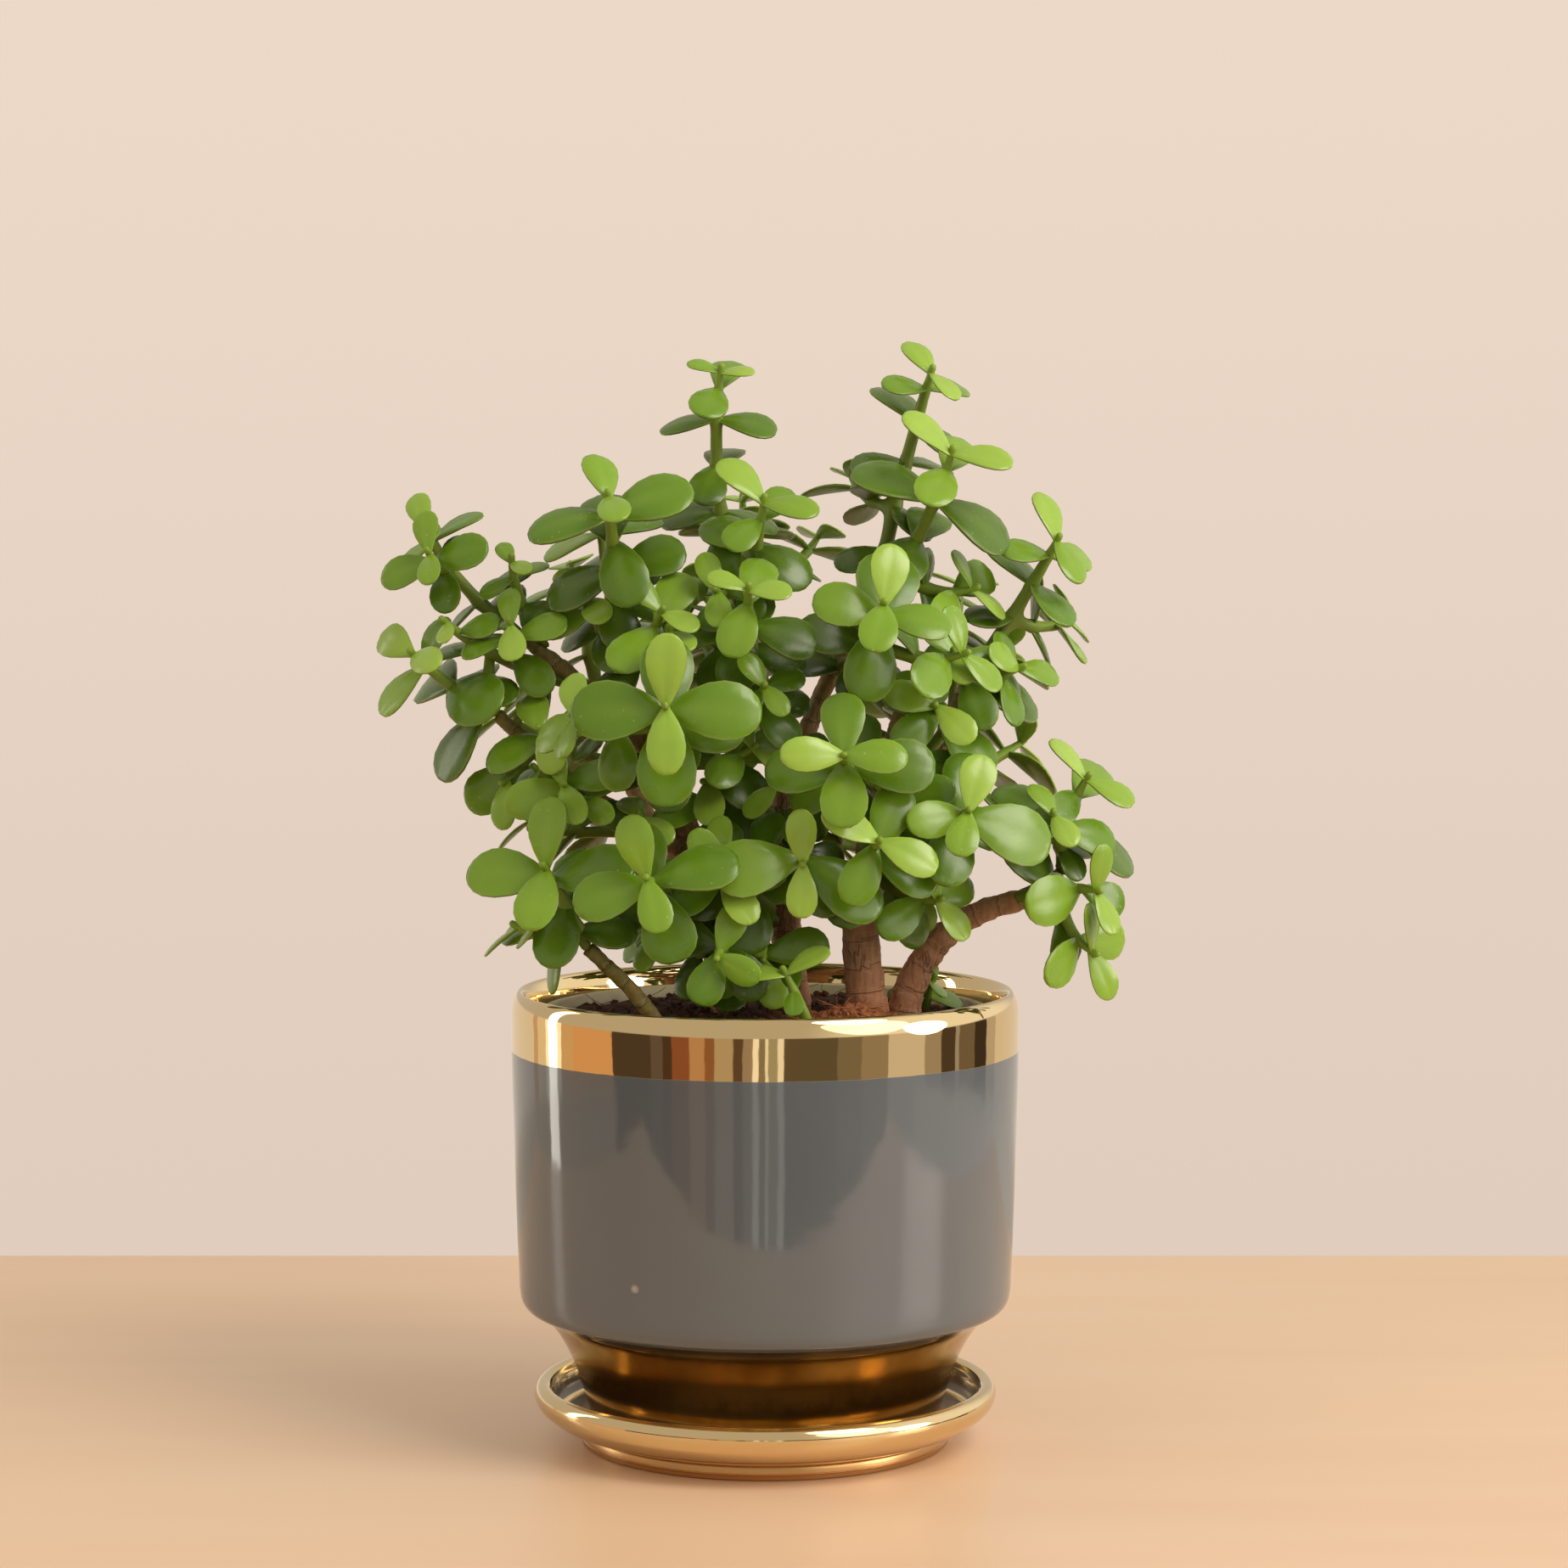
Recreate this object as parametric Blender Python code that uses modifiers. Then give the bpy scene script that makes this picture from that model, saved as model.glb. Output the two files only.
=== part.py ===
"""A small-leaved jade plant in its nursery pot, inside a glazed pot that stands on a saucer.

Metres, +Z up. The origin is the middle of the saucer's underside, and -Y is the plant's front. Everything
that is turned shares the Z axis. The woody stems are tubes that stand in the soil, and each leafy shoot is
one body: a twig with its pairs of leaves. Touching pieces keep a gap of 0.3 mm.
"""

import itertools
import math

import bmesh
import bpy
from mathutils import Matrix, Vector
from mathutils.bvhtree import BVHTree

MM = 0.001
GAP = 0.3  # mm between pieces that touch
TURNED_STEPS = 32

# Driving heights and radii, in mm.
SAUCER_FLOOR_Z = 6.8
SAUCER_R = 59.4
FOOT_Z = SAUCER_FLOOR_Z + GAP
POT_R = 65.0
POT_TOP_Z = 116.5
POT_FLOOR_Z = 35.5
DRAIN_R = 6.0
NURSERY_Z = POT_FLOOR_Z + GAP
NURSERY_RIM_Z = 111.7
NURSERY_WALL = 1.3
SOIL_Z = 107.0

# Leaf habit: young pairs stand up along the twig, older ones spread wide and hang a little.
BUD = 1.6  # mm of twig above the youngest pair
NODE_HALF = 0.9  # half the height of a leaf pair's joint on the twig
SPREADS = (50, 66, 76, 82)  # degrees from the twig's direction, youngest pair first
FIRST_GAPS = (4.5, 8.0)  # mm between the youngest pairs
SAG = 0.10
LEAF_CURL = 22  # degrees that a leaf bends outwards along its length
LIGHT_PULL = 0.7  # how far a leaf turns its upper face from the twig's tip towards the light
MOST_TURN = 55  # degrees
YOUNG_WIDTH, GROWN_WIDTH = 0.57, 0.67  # of the leaf's length
HALF_THICKNESS = 0.9
LEAF_GROWTH = 1.06  # on the lengths below
CLEARANCE = 0.25

# Woody stems: points in mm with the radius at each, and the stem that each one forks from.
STEMS = {
    "trunk_right": (None, [(26, -8, 99, 6.0), (26, -8, 112, 5.4), (24, -10, 134, 4.7), (26, -11, 150, 3.8),
                           (29, -10, 163, 3.3), (32, -8, 177, 2.8), (35, -5, 190, 2.2)]),
    "trunk_centre": (None, [(7, 10, 99, 5.2), (7, 10, 112, 4.6), (5, 9, 135, 4.1), (4, 8, 152, 3.8),
                            (5, 6, 166, 3.3), (3, 5, 180, 2.8), (-2, 4, 198, 2.2), (-5, 1, 214, 1.7)]),
    "trunk_left": (None, [(-9, 5, 99, 5.0), (-10, 5, 114, 4.5), (-14, 5, 135, 4.2), (-19, 4, 154, 3.7),
                          (-25, 4, 168, 3.2), (-31, 4, 181, 2.8), (-36, 3, 193, 2.4), (-40, 2, 208, 1.9)]),
    "stem_right_low": (None, [(35, -3, 99, 4.6), (36, -3, 114, 4.2), (41, -4, 125, 3.8), (48, -6, 133, 3.4),
                              (57, -8, 138, 3.0), (66, -10, 141, 2.5), (75, -11, 147, 2.0)]),
    "stem_left_front": (None, [(-25, -22, 99, 2.2), (-28, -24, 112, 2.0), (-36, -27, 122, 1.9),
                               (-44, -29, 130, 1.7)]),
    "branch_right": ("trunk_right", [(25, -11, 142, 2.9), (33, -6, 152, 2.9), (40, -3, 166, 2.6),
                                     (46, -1, 181, 2.3), (52, 0, 196, 1.9)]),
    "branch_centre": ("trunk_centre", [(5, 6, 168, 2.6), (10, 8, 180, 2.6), (16, 8, 195, 2.3),
                                       (23, 6, 209, 2.0), (29, 4, 221, 1.7)]),
    "branch_left": ("trunk_left", [(-27, 4, 173, 2.5), (-38, 2, 186, 2.5), (-50, 0, 197, 2.2),
                                   (-61, -1, 206, 1.8)]),
    "branch_left_low": ("trunk_left", [(-18, 4, 150, 2.8), (-31, 0, 158, 2.8), (-46, -3, 167, 2.5),
                                       (-58, -4, 178, 2.2), (-68, -5, 187, 1.8)]),
    "branch_back_left": ("trunk_left", [(-13, 5, 130, 2.9), (-20, 17, 142, 2.9), (-30, 28, 157, 2.6),
                                        (-38, 36, 173, 2.2), (-44, 42, 188, 1.8)]),
    "branch_back": ("trunk_centre", [(5, 9, 138, 2.8), (6, 21, 150, 2.8), (4, 32, 166, 2.5),
                                     (0, 41, 184, 2.1), (-2, 46, 202, 1.7)]),
    "branch_back_right": ("trunk_right", [(24, -10, 130, 2.9), (31, 4, 139, 2.9), (38, 17, 152, 2.6),
                                          (45, 27, 167, 2.2), (50, 34, 183, 1.8)]),
}

# Leafy shoots: the stem, how far along it the twig leaves (0 to 1), the twig's tip in mm, the way the tip
# points, the roll of the youngest pair in degrees (0 stands upright), the leaf lengths of each pair from the
# tip down, and the spacing of the grown pairs. The front of the plant comes first, because a shoot gives way
# to those before it.
SHOOTS = {
    "shoot_front_left": ("trunk_left", 0.62, (-24, -60, 192), (0.0, -1.0, 0.15), 0,
                         (17, 22, 21, 19, 18, 17), 13),
    "shoot_front_right": ("trunk_right", 0.76, (19, -55, 180), (0.0, -0.95, 0.25), 90,
                          (15, 17, 20, 18, 17, 16), 12),
    "shoot_front_low": ("trunk_right", 0.52, (28, -50, 159), (0.15, -0.9, 0.3), 62,
                        (15, 16, 17, 17, 16, 15), 11),
    "shoot_right_front": ("branch_right", 0.48, (50, -45, 166), (0.1, -0.9, 0.3), -18,
                          (15, 22, 18, 17, 16, 15), 12),
    "shoot_high_front": ("branch_centre", 0.55, (29, -45, 217), (0.0, -0.85, 0.5), -10,
                         (15, 17, 21, 18, 17, 16), 12),
    "shoot_low_left": ("stem_left_front", 1.0, (-55, -38, 152), (-0.2, -0.85, 0.4), 0,
                       (17, 22, 17, 15, 14, 14), 8),
    "shoot_low_centre": ("trunk_left", 0.30, (-29, -52, 150), (-0.1, -0.95, 0.25), 18,
                         (15, 22, 19, 17, 16, 15), 11),
    "shoot_middle_top": ("trunk_centre", 0.90, (-4, -35, 221), (0.05, -0.6, 0.8), 70,
                         (11, 15, 17, 15, 14, 14), 9),
    "shoot_centre_top": ("trunk_centre", 1.0, (0, -20, 243), (0.15, -0.25, 0.95), 60,
                         (15, 13, 16, 15, 14, 14), 10),
    "shoot_left_top": ("trunk_left", 1.0, (-39, -30, 244), (-0.1, -0.5, 0.85), 8,
                       (15, 20, 18, 18, 17, 16), 10),
    "shoot_left_middle": ("trunk_left", 0.88, (-25, -28, 215), (0.25, -0.7, 0.6), 40,
                          (13, 18, 18, 17, 16, 15), 10),
    "leader_left": ("trunk_centre", 0.88, (-11, -2, 276), (0.15, -0.4, 0.95), 80,
                    (9, 14, 15, 15, 15, 14), 12),
    "leader_right": ("branch_centre", 1.0, (43, 6, 276), (0.25, -0.5, 0.85), 40,
                     (12, 13, 17, 15, 15, 14), 12),
    "shoot_right_top": ("branch_centre", 0.80, (47, -18, 255), (0.2, -0.45, 0.9), 80,
                        (15, 15, 21, 17, 15, 14), 12),
    "leader_far_right": ("branch_right", 1.0, (75, -3, 233), (0.35, -0.55, 0.75), 0,
                         (14, 14, 17, 16, 15, 14), 11),
    "shoot_right_side": ("branch_right", 0.86, (66, -12, 200), (0.9, -0.3, 0.35), 60,
                         (12, 14, 18, 16, 15, 14), 9),
    "shoot_far_right": ("stem_right_low", 1.0, (82, -14, 173), (0.45, -0.55, 0.7), 30,
                        (13, 17, 20, 19, 18, 17), 8),
    "shoot_right_tip": ("stem_right_low", 0.58, (84, -27, 144), (0.6, -0.75, -0.1), 5,
                        (12, 19, 21, 21, 20, 19), 9),
    "shoot_left_tip": ("branch_left_low", 1.0, (-90, -12, 204), (-0.5, -0.6, 0.6), 70,
                       (14, 16, 21, 21, 20, 19), 10),
    "leader_far_left": ("branch_left", 1.0, (-87, -3, 237), (-0.25, -0.5, 0.85), 5,
                        (12, 14, 16, 15, 14, 14), 12),
    "shoot_left_small": ("branch_left", 0.80, (-64, -8, 228), (0.05, -0.5, 0.9), 30,
                         (8, 10, 14, 14, 14, 14), 8),
    "shoot_left_side": ("branch_left", 0.62, (-82, -12, 212), (-0.6, -0.5, 0.6), 20,
                        (12, 14, 16, 15, 14, 14), 9),
    "shoot_left_dark": ("trunk_left", 0.95, (-46, -14, 218), (-0.3, -0.6, 0.6), 50,
                        (12, 14, 16, 15, 14, 14), 9),
    "shoot_left_inner": ("branch_left_low", 0.65, (-57, -20, 185), (-0.3, -0.8, 0.4), 30,
                         (13, 16, 17, 16, 15, 14), 10),
    "shoot_left_droop": ("branch_left_low", 0.80, (-67, -14, 170), (-0.6, -0.5, -0.3), 20,
                         (13, 16, 19, 18, 17, 16), 9),
    "shoot_left_low_inner": ("branch_left_low", 0.40, (-46, -24, 167), (-0.2, -0.9, 0.1), 60,
                             (11, 13, 16, 15, 14, 14), 9),
    "shoot_low_inner": ("trunk_centre", 0.28, (-10, -38, 148), (0.2, -0.9, 0.1), 30,
                        (14, 17, 18, 16, 15, 14), 11),
    "shoot_rim_front": ("trunk_left", 0.17, (-12, -46, 129), (-0.1, -0.9, -0.2), 70,
                        (12, 14, 16, 15, 14, 14), 11),
    "shoot_hanging": ("trunk_centre", 0.40, (9, -44, 152), (-0.1, -0.95, -0.2), 0,
                      (13, 22, 17, 16, 15, 14), 10),
    "shoot_middle": ("trunk_centre", 0.72, (0, -30, 196), (0.1, -0.9, 0.3), 30,
                     (10, 11, 15, 15, 14, 14), 9),
    "shoot_centre_inner": ("trunk_centre", 0.52, (-16, -18, 171), (-0.4, -0.8, 0.1), 30,
                           (13, 15, 16, 16, 15), 9),
    "shoot_right_inner": ("branch_right", 0.74, (42, -28, 191), (-0.2, -0.85, 0.3), 50,
                          (13, 15, 17, 16, 15, 14), 9),
    "sprout_front": ("soil", 0.0, (4, -40, 127), (-0.5, -0.1, 1.0), 80,
                     (12, 8), 9),
    "sprout_right": ("soil", 0.0, (44, 6, 120), (0.4, -0.2, 1.0), 20,
                     (8, 10), 6),
    "back_left_top": ("branch_back_left", 1.0, (-52, 46, 226), (-0.2, 0.1, 1.0), 20,
                      (12, 15, 16, 15, 14, 13), 11),
    "back_left": ("branch_back_left", 0.75, (-72, 46, 186), (-0.7, 0.4, 0.5), 40,
                  (13, 17, 17, 15, 14, 13), 11),
    "back_left_low": ("branch_back_left", 0.45, (-50, 58, 158), (-0.4, 0.9, 0.2), 10,
                      (14, 18, 17, 15, 14, 13), 11),
    "back_top": ("branch_back", 1.0, (-6, 44, 244), (0.0, 0.0, 1.0), 30,
                 (12, 14, 15, 15, 14, 13), 11),
    "back_middle": ("branch_back", 0.80, (-16, 74, 200), (-0.2, 1.0, 0.3), 60,
                    (14, 18, 17, 15, 14, 13), 11),
    "back_low": ("branch_back", 0.35, (10, 68, 160), (0.1, 1.0, 0.2), 20,
                 (15, 19, 17, 15, 14, 13), 11),
    "back_right_top": ("branch_back_right", 1.0, (52, 44, 222), (0.1, 0.2, 1.0), 50,
                       (12, 15, 16, 15, 14, 13), 11),
    "back_right": ("branch_back_right", 0.70, (70, 50, 178), (0.7, 0.6, 0.4), 30,
                   (14, 18, 17, 15, 14, 13), 11),
    "back_right_low": ("branch_back_right", 0.35, (36, 62, 186), (0.0, 0.9, 0.5), 80,
                       (14, 17, 16, 14, 13, 12), 11),
}
# Side shoots: the shoot, the pair (counted from its tip) and hand whose leaf each one replaces, its reach in
# mm and its leaf lengths.
SIDE_SHOOTS = [
    ("shoot_front_left", 3, 1, 27, (12, 16, 15)),
    ("shoot_front_left", 4, 1, 30, (13, 16, 16)),
    ("shoot_front_left", 5, -1, 26, (13, 16, 16)),
    ("shoot_front_right", 4, 1, 26, (12, 15, 15)),
    ("shoot_middle", 3, 1, 24, (12, 15, 15)),
    ("shoot_low_inner", 4, -1, 26, (13, 16, 16)),
    ("shoot_right_inner", 3, 1, 24, (12, 15, 15)),
    ("shoot_left_inner", 2, -1, 20, (12, 15, 14)),
    ("shoot_left_top", 4, -1, 24, (12, 16, 15)),
    ("shoot_high_front", 3, -1, 26, (12, 16, 15)),
    ("shoot_low_centre", 4, 1, 26, (12, 16, 15)),
    ("shoot_hanging", 3, 1, 24, (11, 15, 14)),
    ("leader_right", 4, -1, 24, (11, 15, 14)),
    ("leader_left", 5, 1, 24, (11, 15, 14)),
    ("shoot_left_tip", 3, -1, 22, (11, 15, 14)),
    ("leader_far_right", 3, -1, 22, (11, 14, 14)),
    ("leader_far_left", 2, 1, 20, (11, 14, 14)),
    ("shoot_right_front", 3, 1, 24, (12, 15, 15)),
    ("shoot_right_front", 4, -1, 24, (12, 15, 15)),
    ("shoot_right_side", 2, 1, 22, (11, 15, 14)),
    ("shoot_right_inner", 4, -1, 24, (12, 15, 15)),
    ("shoot_right_top", 4, 1, 22, (11, 15, 14)),
    ("shoot_far_right", 3, 1, 20, (11, 15, 14)),
    ("shoot_right_tip", 2, -1, 20, (13, 16, 15)),
    ("shoot_front_low", 4, -1, 24, (12, 15, 15)),
    ("shoot_low_left", 3, 1, 20, (11, 14, 14)),
    ("shoot_rim_front", 4, 1, 22, (11, 15, 14)),
    ("shoot_low_inner", 3, 1, 24, (12, 15, 15)),
    ("shoot_centre_inner", 2, 1, 22, (11, 15, 14)),
    ("shoot_left_middle", 3, -1, 22, (11, 15, 14)),
    ("shoot_middle_top", 4, 1, 22, (11, 14, 14)),
    ("shoot_centre_top", 3, -1, 20, (11, 14, 14)),
    ("shoot_left_side", 3, -1, 20, (11, 14, 14)),
    ("shoot_left_low_inner", 2, 1, 20, (11, 14, 14)),
    ("back_left_top", 3, 1, 28, (12, 15, 14)),
    ("back_left", 3, 1, 28, (12, 15, 14)),
    ("back_left_low", 3, -1, 28, (12, 15, 14)),
    ("back_top", 3, 1, 28, (12, 15, 14)),
    ("back_top", 4, -1, 30, (12, 15, 14)),
    ("back_middle", 3, 1, 30, (12, 15, 14)),
    ("back_middle", 3, -1, 28, (12, 15, 14)),
    ("back_low", 3, 1, 28, (12, 15, 14)),
    ("back_right_top", 3, 1, 28, (12, 15, 14)),
    ("back_right", 3, -1, 28, (12, 15, 14)),
    ("back_right_low", 3, 1, 28, (12, 15, 14)),
    ("back_right_low", 4, -1, 28, (12, 15, 14)),
]
SIDE_SPACING = 9
SOIL_STARTS = {"sprout_front": (14, -34, 103), "sprout_right": (40, 14, 103)}


def clear_scene():
    for thing in list(bpy.data.objects):
        bpy.data.objects.remove(thing, do_unlink=True)


def collection(name):
    made = bpy.data.collections.new(name)
    bpy.context.scene.collection.children.link(made)
    return made


clear_scene()
PARTS = collection("potted_jade_plant")
CUTTERS = collection("cutters")


def material(name, colour, roughness, metallic=0.0):
    made = bpy.data.materials.new(name)
    made.use_nodes = True
    shader = made.node_tree.nodes["Principled BSDF"]
    shader.inputs["Base Color"].default_value = (*colour, 1.0)
    shader.inputs["Roughness"].default_value = roughness
    shader.inputs["Metallic"].default_value = metallic
    return made


GOLD = material("gold_lustre", (0.62, 0.40, 0.14), 0.15, 1.0)
GLAZE = material("grey_glaze", (0.20, 0.19, 0.185), 0.12)
PLASTIC = material("nursery_plastic", (0.45, 0.40, 0.28), 0.5)
EARTH = material("coir_soil", (0.05, 0.025, 0.015), 0.95)
BARK = material("bark", (0.22, 0.12, 0.08), 0.8)
LEAF = material("leaf_green", (0.12, 0.28, 0.05), 0.35)
STONE = material("pale_stone", (0.6, 0.58, 0.54), 0.7)


def add(name, mesh, surface, where=PARTS):
    """A new object with one material, smooth where its faces meet gently."""
    made = bpy.data.objects.new(name, mesh)
    where.objects.link(made)
    mesh.materials.append(surface)
    if mesh.polygons:
        mesh.shade_smooth()
        mesh.set_sharp_from_angle(angle=math.radians(35))
    if where is CUTTERS:
        made.hide_render = True
        made.display_type = "WIRE"
    return made


# ---------------------------------------------------------------- turned pieces


def arc(centre, radii, start, end, count):
    """Points of an elliptical arc in the profile's plane, angles in degrees from +X."""
    turns = [math.radians(start + (end - start) * i / (count - 1)) for i in range(count)]
    return [(centre[0] + radii[0] * math.cos(t), centre[1] + radii[1] * math.sin(t)) for t in turns]


def turned(name, profile, surface, closed):
    """Spins a profile, given in mm as (radius, height) down its outer side, around the Z axis."""
    mesh = bpy.data.meshes.new(name)
    count = len(profile)
    edges = [(i, (i + 1) % count) for i in range(count if closed else count - 1)]
    mesh.from_pydata([(r * MM, 0.0, z * MM) for r, z in profile], edges, [])
    made = add(name, mesh, surface)
    spin = made.modifiers.new("turn", "SCREW")
    spin.steps = spin.render_steps = TURNED_STEPS
    spin.use_merge_vertices = True
    spin.merge_threshold = 0.0001
    spin.use_smooth_shade = True
    return made


def saucer():
    """A shallow dish on a low base ring, with a rounded lip; the underside is a flat disc."""
    floor = [(0, SAUCER_FLOOR_Z), (51.5, SAUCER_FLOOR_Z)]
    inside = arc((51.5, SAUCER_FLOOR_Z + 4.0), (3.6, 4.0), -60, 0, 3) + [(55.8, 14.2)]
    lip = arc((57.0, 12.6), (SAUCER_R - 57.0, 3.0), 120, -12, 7)
    flank = [(57.9, 9.2), (54.6, 6.6), (50.6, 4.9), (47.7, 4.3)]
    base = [(47.2, 3.7), (47.4, 3.0), (46.9, 0.5), (46.4, 0), (0, 0)]
    return turned("saucer", floor + inside + lip + flank + base, GOLD, closed=False)


def pot():
    """A straight-sided body that leans out a little, on a flared foot that is hollow underneath."""
    inside = [(DRAIN_R, POT_FLOOR_Z), (53.0, POT_FLOOR_Z)] + arc((53.0, 41.0), (5.5, 5.5), -60, 0, 3)
    lip = [(60.3, 108.0)] + arc((62.8, 110.5), (POT_R - 62.8, POT_TOP_Z - 110.5), 150, 0, 6)
    body = [(64.9, 98.0), (63.2, 41.0)]
    corner = [(62.7, 37.8), (61.6, 35.9), (60.0, 34.9), (57.4, 33.6), (55.2, 31.6)]
    foot = [(52.3, 27.4), (49.6, 22.0), (47.6, 16.2), (45.8, 10.8), (44.9, FOOT_Z + 0.5), (44.2, FOOT_Z)]
    hollow = [(40.8, FOOT_Z), (40.4, FOOT_Z + 0.6), (43.6, 16.0), (46.6, 26.0), (44.0, 31.0), (DRAIN_R, 31.0)]
    return turned("pot", inside + lip + body + corner + foot + hollow, GLAZE, closed=True)


def nursery_radius(z):
    """Inner radius of the nursery pot, in mm, at a height."""
    return 41.5 + (z - NURSERY_Z) * 0.187


def nursery_pot():
    """A thin moulded pot with a turned-out rim, standing on the glazed pot's floor."""
    floor_z = NURSERY_Z + NURSERY_WALL
    rim_r = nursery_radius(NURSERY_RIM_Z)
    inside = [(DRAIN_R, floor_z), (nursery_radius(floor_z) - 1.5, floor_z)]
    inside += [(nursery_radius(floor_z + 1.5), floor_z + 1.5), (rim_r - 0.1, NURSERY_RIM_Z - 0.5)]
    rim = [(rim_r + 0.4, NURSERY_RIM_Z), (rim_r + 1.5, NURSERY_RIM_Z), (rim_r + 1.9, NURSERY_RIM_Z - 0.5)]
    rim += [(rim_r + 1.9, NURSERY_RIM_Z - 4.0), (rim_r + NURSERY_WALL - 0.7, NURSERY_RIM_Z - 4.4)]
    base = [(nursery_radius(NURSERY_Z + 1) + NURSERY_WALL, NURSERY_Z + 1)]
    base += [(nursery_radius(NURSERY_Z) + 0.4, NURSERY_Z), (DRAIN_R, NURSERY_Z)]
    return turned("nursery_pot", inside + rim + base, PLASTIC, closed=True)


def soil():
    """The root ball: it fills the nursery pot to a few millimetres below the rim and mounds up a little."""
    floor_z = NURSERY_Z + NURSERY_WALL + GAP
    top = [(0, SOIL_Z + 2.0), (24, SOIL_Z + 1.8), (42, SOIL_Z + 0.6)]
    edge_r = nursery_radius(SOIL_Z - 1) - GAP
    side = [(edge_r, SOIL_Z - 1), (nursery_radius(floor_z + 1.5) - GAP - 0.1, floor_z + 1.5)]
    bottom = [(nursery_radius(floor_z) - GAP - 2.0, floor_z), (0, floor_z)]
    return turned("soil", top + side + bottom, EARTH, closed=False)


# ---------------------------------------------------------------- woody stems


def longer(points, extra):
    """The tube's points with its two ends moved outwards."""
    moved = list(points)
    for end, inner in ((0, 1), (-1, -2)):
        out = (Vector(points[end][:3]) - Vector(points[inner][:3])).normalized() * extra
        moved[end] = (*(Vector(points[end][:3]) + out), points[end][3])
    return moved


def tube_mesh(name, points, extra):
    """A closed mesh of a tube through (x, y, z, radius) points in mm, fatter and longer by extra mm."""
    points = longer(points, extra)
    curve = bpy.data.curves.new(name, "CURVE")
    curve.dimensions = "3D"
    curve.bevel_depth = MM
    curve.bevel_resolution = 2
    curve.use_fill_caps = True
    spline = curve.splines.new("POLY")
    spline.points.add(len(points) - 1)
    for spot, (x, y, z, radius) in zip(spline.points, points):
        spot.co = (x * MM, y * MM, z * MM, 1.0)
        spot.radius = radius + extra
    holder = bpy.data.objects.new(name, curve)
    bpy.context.scene.collection.objects.link(holder)
    bpy.context.view_layer.update()
    seen = holder.evaluated_get(bpy.context.evaluated_depsgraph_get())
    mesh = bpy.data.meshes.new_from_object(seen)
    bpy.data.objects.remove(holder, do_unlink=True)
    cage = bmesh.new()
    cage.from_mesh(mesh)
    bmesh.ops.remove_doubles(cage, verts=cage.verts, dist=1e-6)
    bmesh.ops.recalc_face_normals(cage, faces=cage.faces)
    cage.to_mesh(mesh)
    cage.free()
    return mesh


def cut(piece, cutter):
    boolean = piece.modifiers.new("cut_" + cutter.name, "BOOLEAN")
    boolean.operation = "DIFFERENCE"
    boolean.solver = "EXACT"
    boolean.object = cutter


def stems(ground):
    """Makes each stem and its cutter. A trunk cuts its hole in the soil; its parent cuts a branch."""
    cutters = {}
    for name, (parent, points) in STEMS.items():
        cutters[name] = add("cutter_" + name, tube_mesh(name, points, GAP), BARK, CUTTERS)
        piece = add(name, tube_mesh(name, points, 0.0), BARK)
        if parent:
            cut(piece, cutters[parent])
        else:
            cut(ground, cutters[name])
    return cutters


# ---------------------------------------------------------------- leafy shoots


def along(points, share):
    """The point at a share of a polyline's length."""
    spots = [Vector(p[:3]) for p in points]
    runs = [(b - a).length for a, b in zip(spots, spots[1:])]
    left = share * sum(runs)
    for a, b, run in zip(spots, spots[1:], runs):
        if left <= run:
            return a.lerp(b, left / run)
        left -= run
    return spots[-1]


class Twig:
    """A curved twig from its stem to its tip, measured in mm back from the tip."""

    STEPS = 48

    def __init__(self, start, tip, heading, roll):
        tip, heading = Vector(tip), Vector(heading).normalized()
        bend = tip - heading * (tip - start).length * 0.5
        self.spots = []
        for i in range(self.STEPS + 1):
            t = i / self.STEPS
            self.spots.append(tip * (1 - t) ** 2 + bend * 2 * t * (1 - t) + start * t**2)
        self.reach = [0.0]
        for a, b in zip(self.spots, self.spots[1:]):
            self.reach.append(self.reach[-1] + (b - a).length)
        self.length = self.reach[-1]
        upright = Vector((0, 0, 1)) if abs(heading.z) < 0.8 else Vector((0, -1, 0))
        across = heading.cross(upright).normalized()
        rising = across.cross(heading)
        angle = math.radians(roll)
        self.frames = [(heading, rising * math.cos(angle) + across * math.sin(angle))]
        for a, b in zip(self.spots, self.spots[1:]):
            ahead = (a - b).normalized()
            side = self.frames[-1][1]
            self.frames.append((ahead, (side - ahead * side.dot(ahead)).normalized()))

    def at(self, back):
        """(place, direction, side) at a distance back from the tip."""
        for i in range(self.STEPS):
            if back <= self.reach[i + 1] or i == self.STEPS - 1:
                share = (back - self.reach[i]) / (self.reach[i + 1] - self.reach[i])
                place = self.spots[i].lerp(self.spots[i + 1], share)
                return place, self.frames[i + 1][0], self.frames[i + 1][1]

    def radius(self, back):
        return 1.15 + 0.75 * min(back / 45.0, 1.0)

    def ring(self, back):
        """The four corners of the twig's section, whose flat sides face the leaf pairs."""
        place, ahead, side = self.at(back)
        other = ahead.cross(side)
        r = self.radius(back)
        return [place + (side * i + other * j) * r * 0.72 for i, j in ((1, 1), (-1, 1), (-1, -1), (1, -1))]


def leaf_places(twig, lengths, spacing):
    """For each pair: its distance back from the tip and its leaves' length."""
    back = BUD + NODE_HALF
    gaps = itertools.chain(FIRST_GAPS, itertools.repeat(spacing))
    places = []
    for length in lengths:
        if back > twig.length - 4.0:
            break
        places.append((back, length))
        back += next(gaps)
    return places


def trials():
    """Ways to nudge a leaf that is in another's way: (lift, swing, size), the smallest nudge first."""
    every = itertools.product((0, -12, 12, -24, 24, -38), (0, 14, -14, 28, -28), (1.0, 0.86, 0.72))
    return sorted(every, key=lambda t: (abs(t[0]) + abs(t[1]) + 60 * (1 - t[2]), t))


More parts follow.
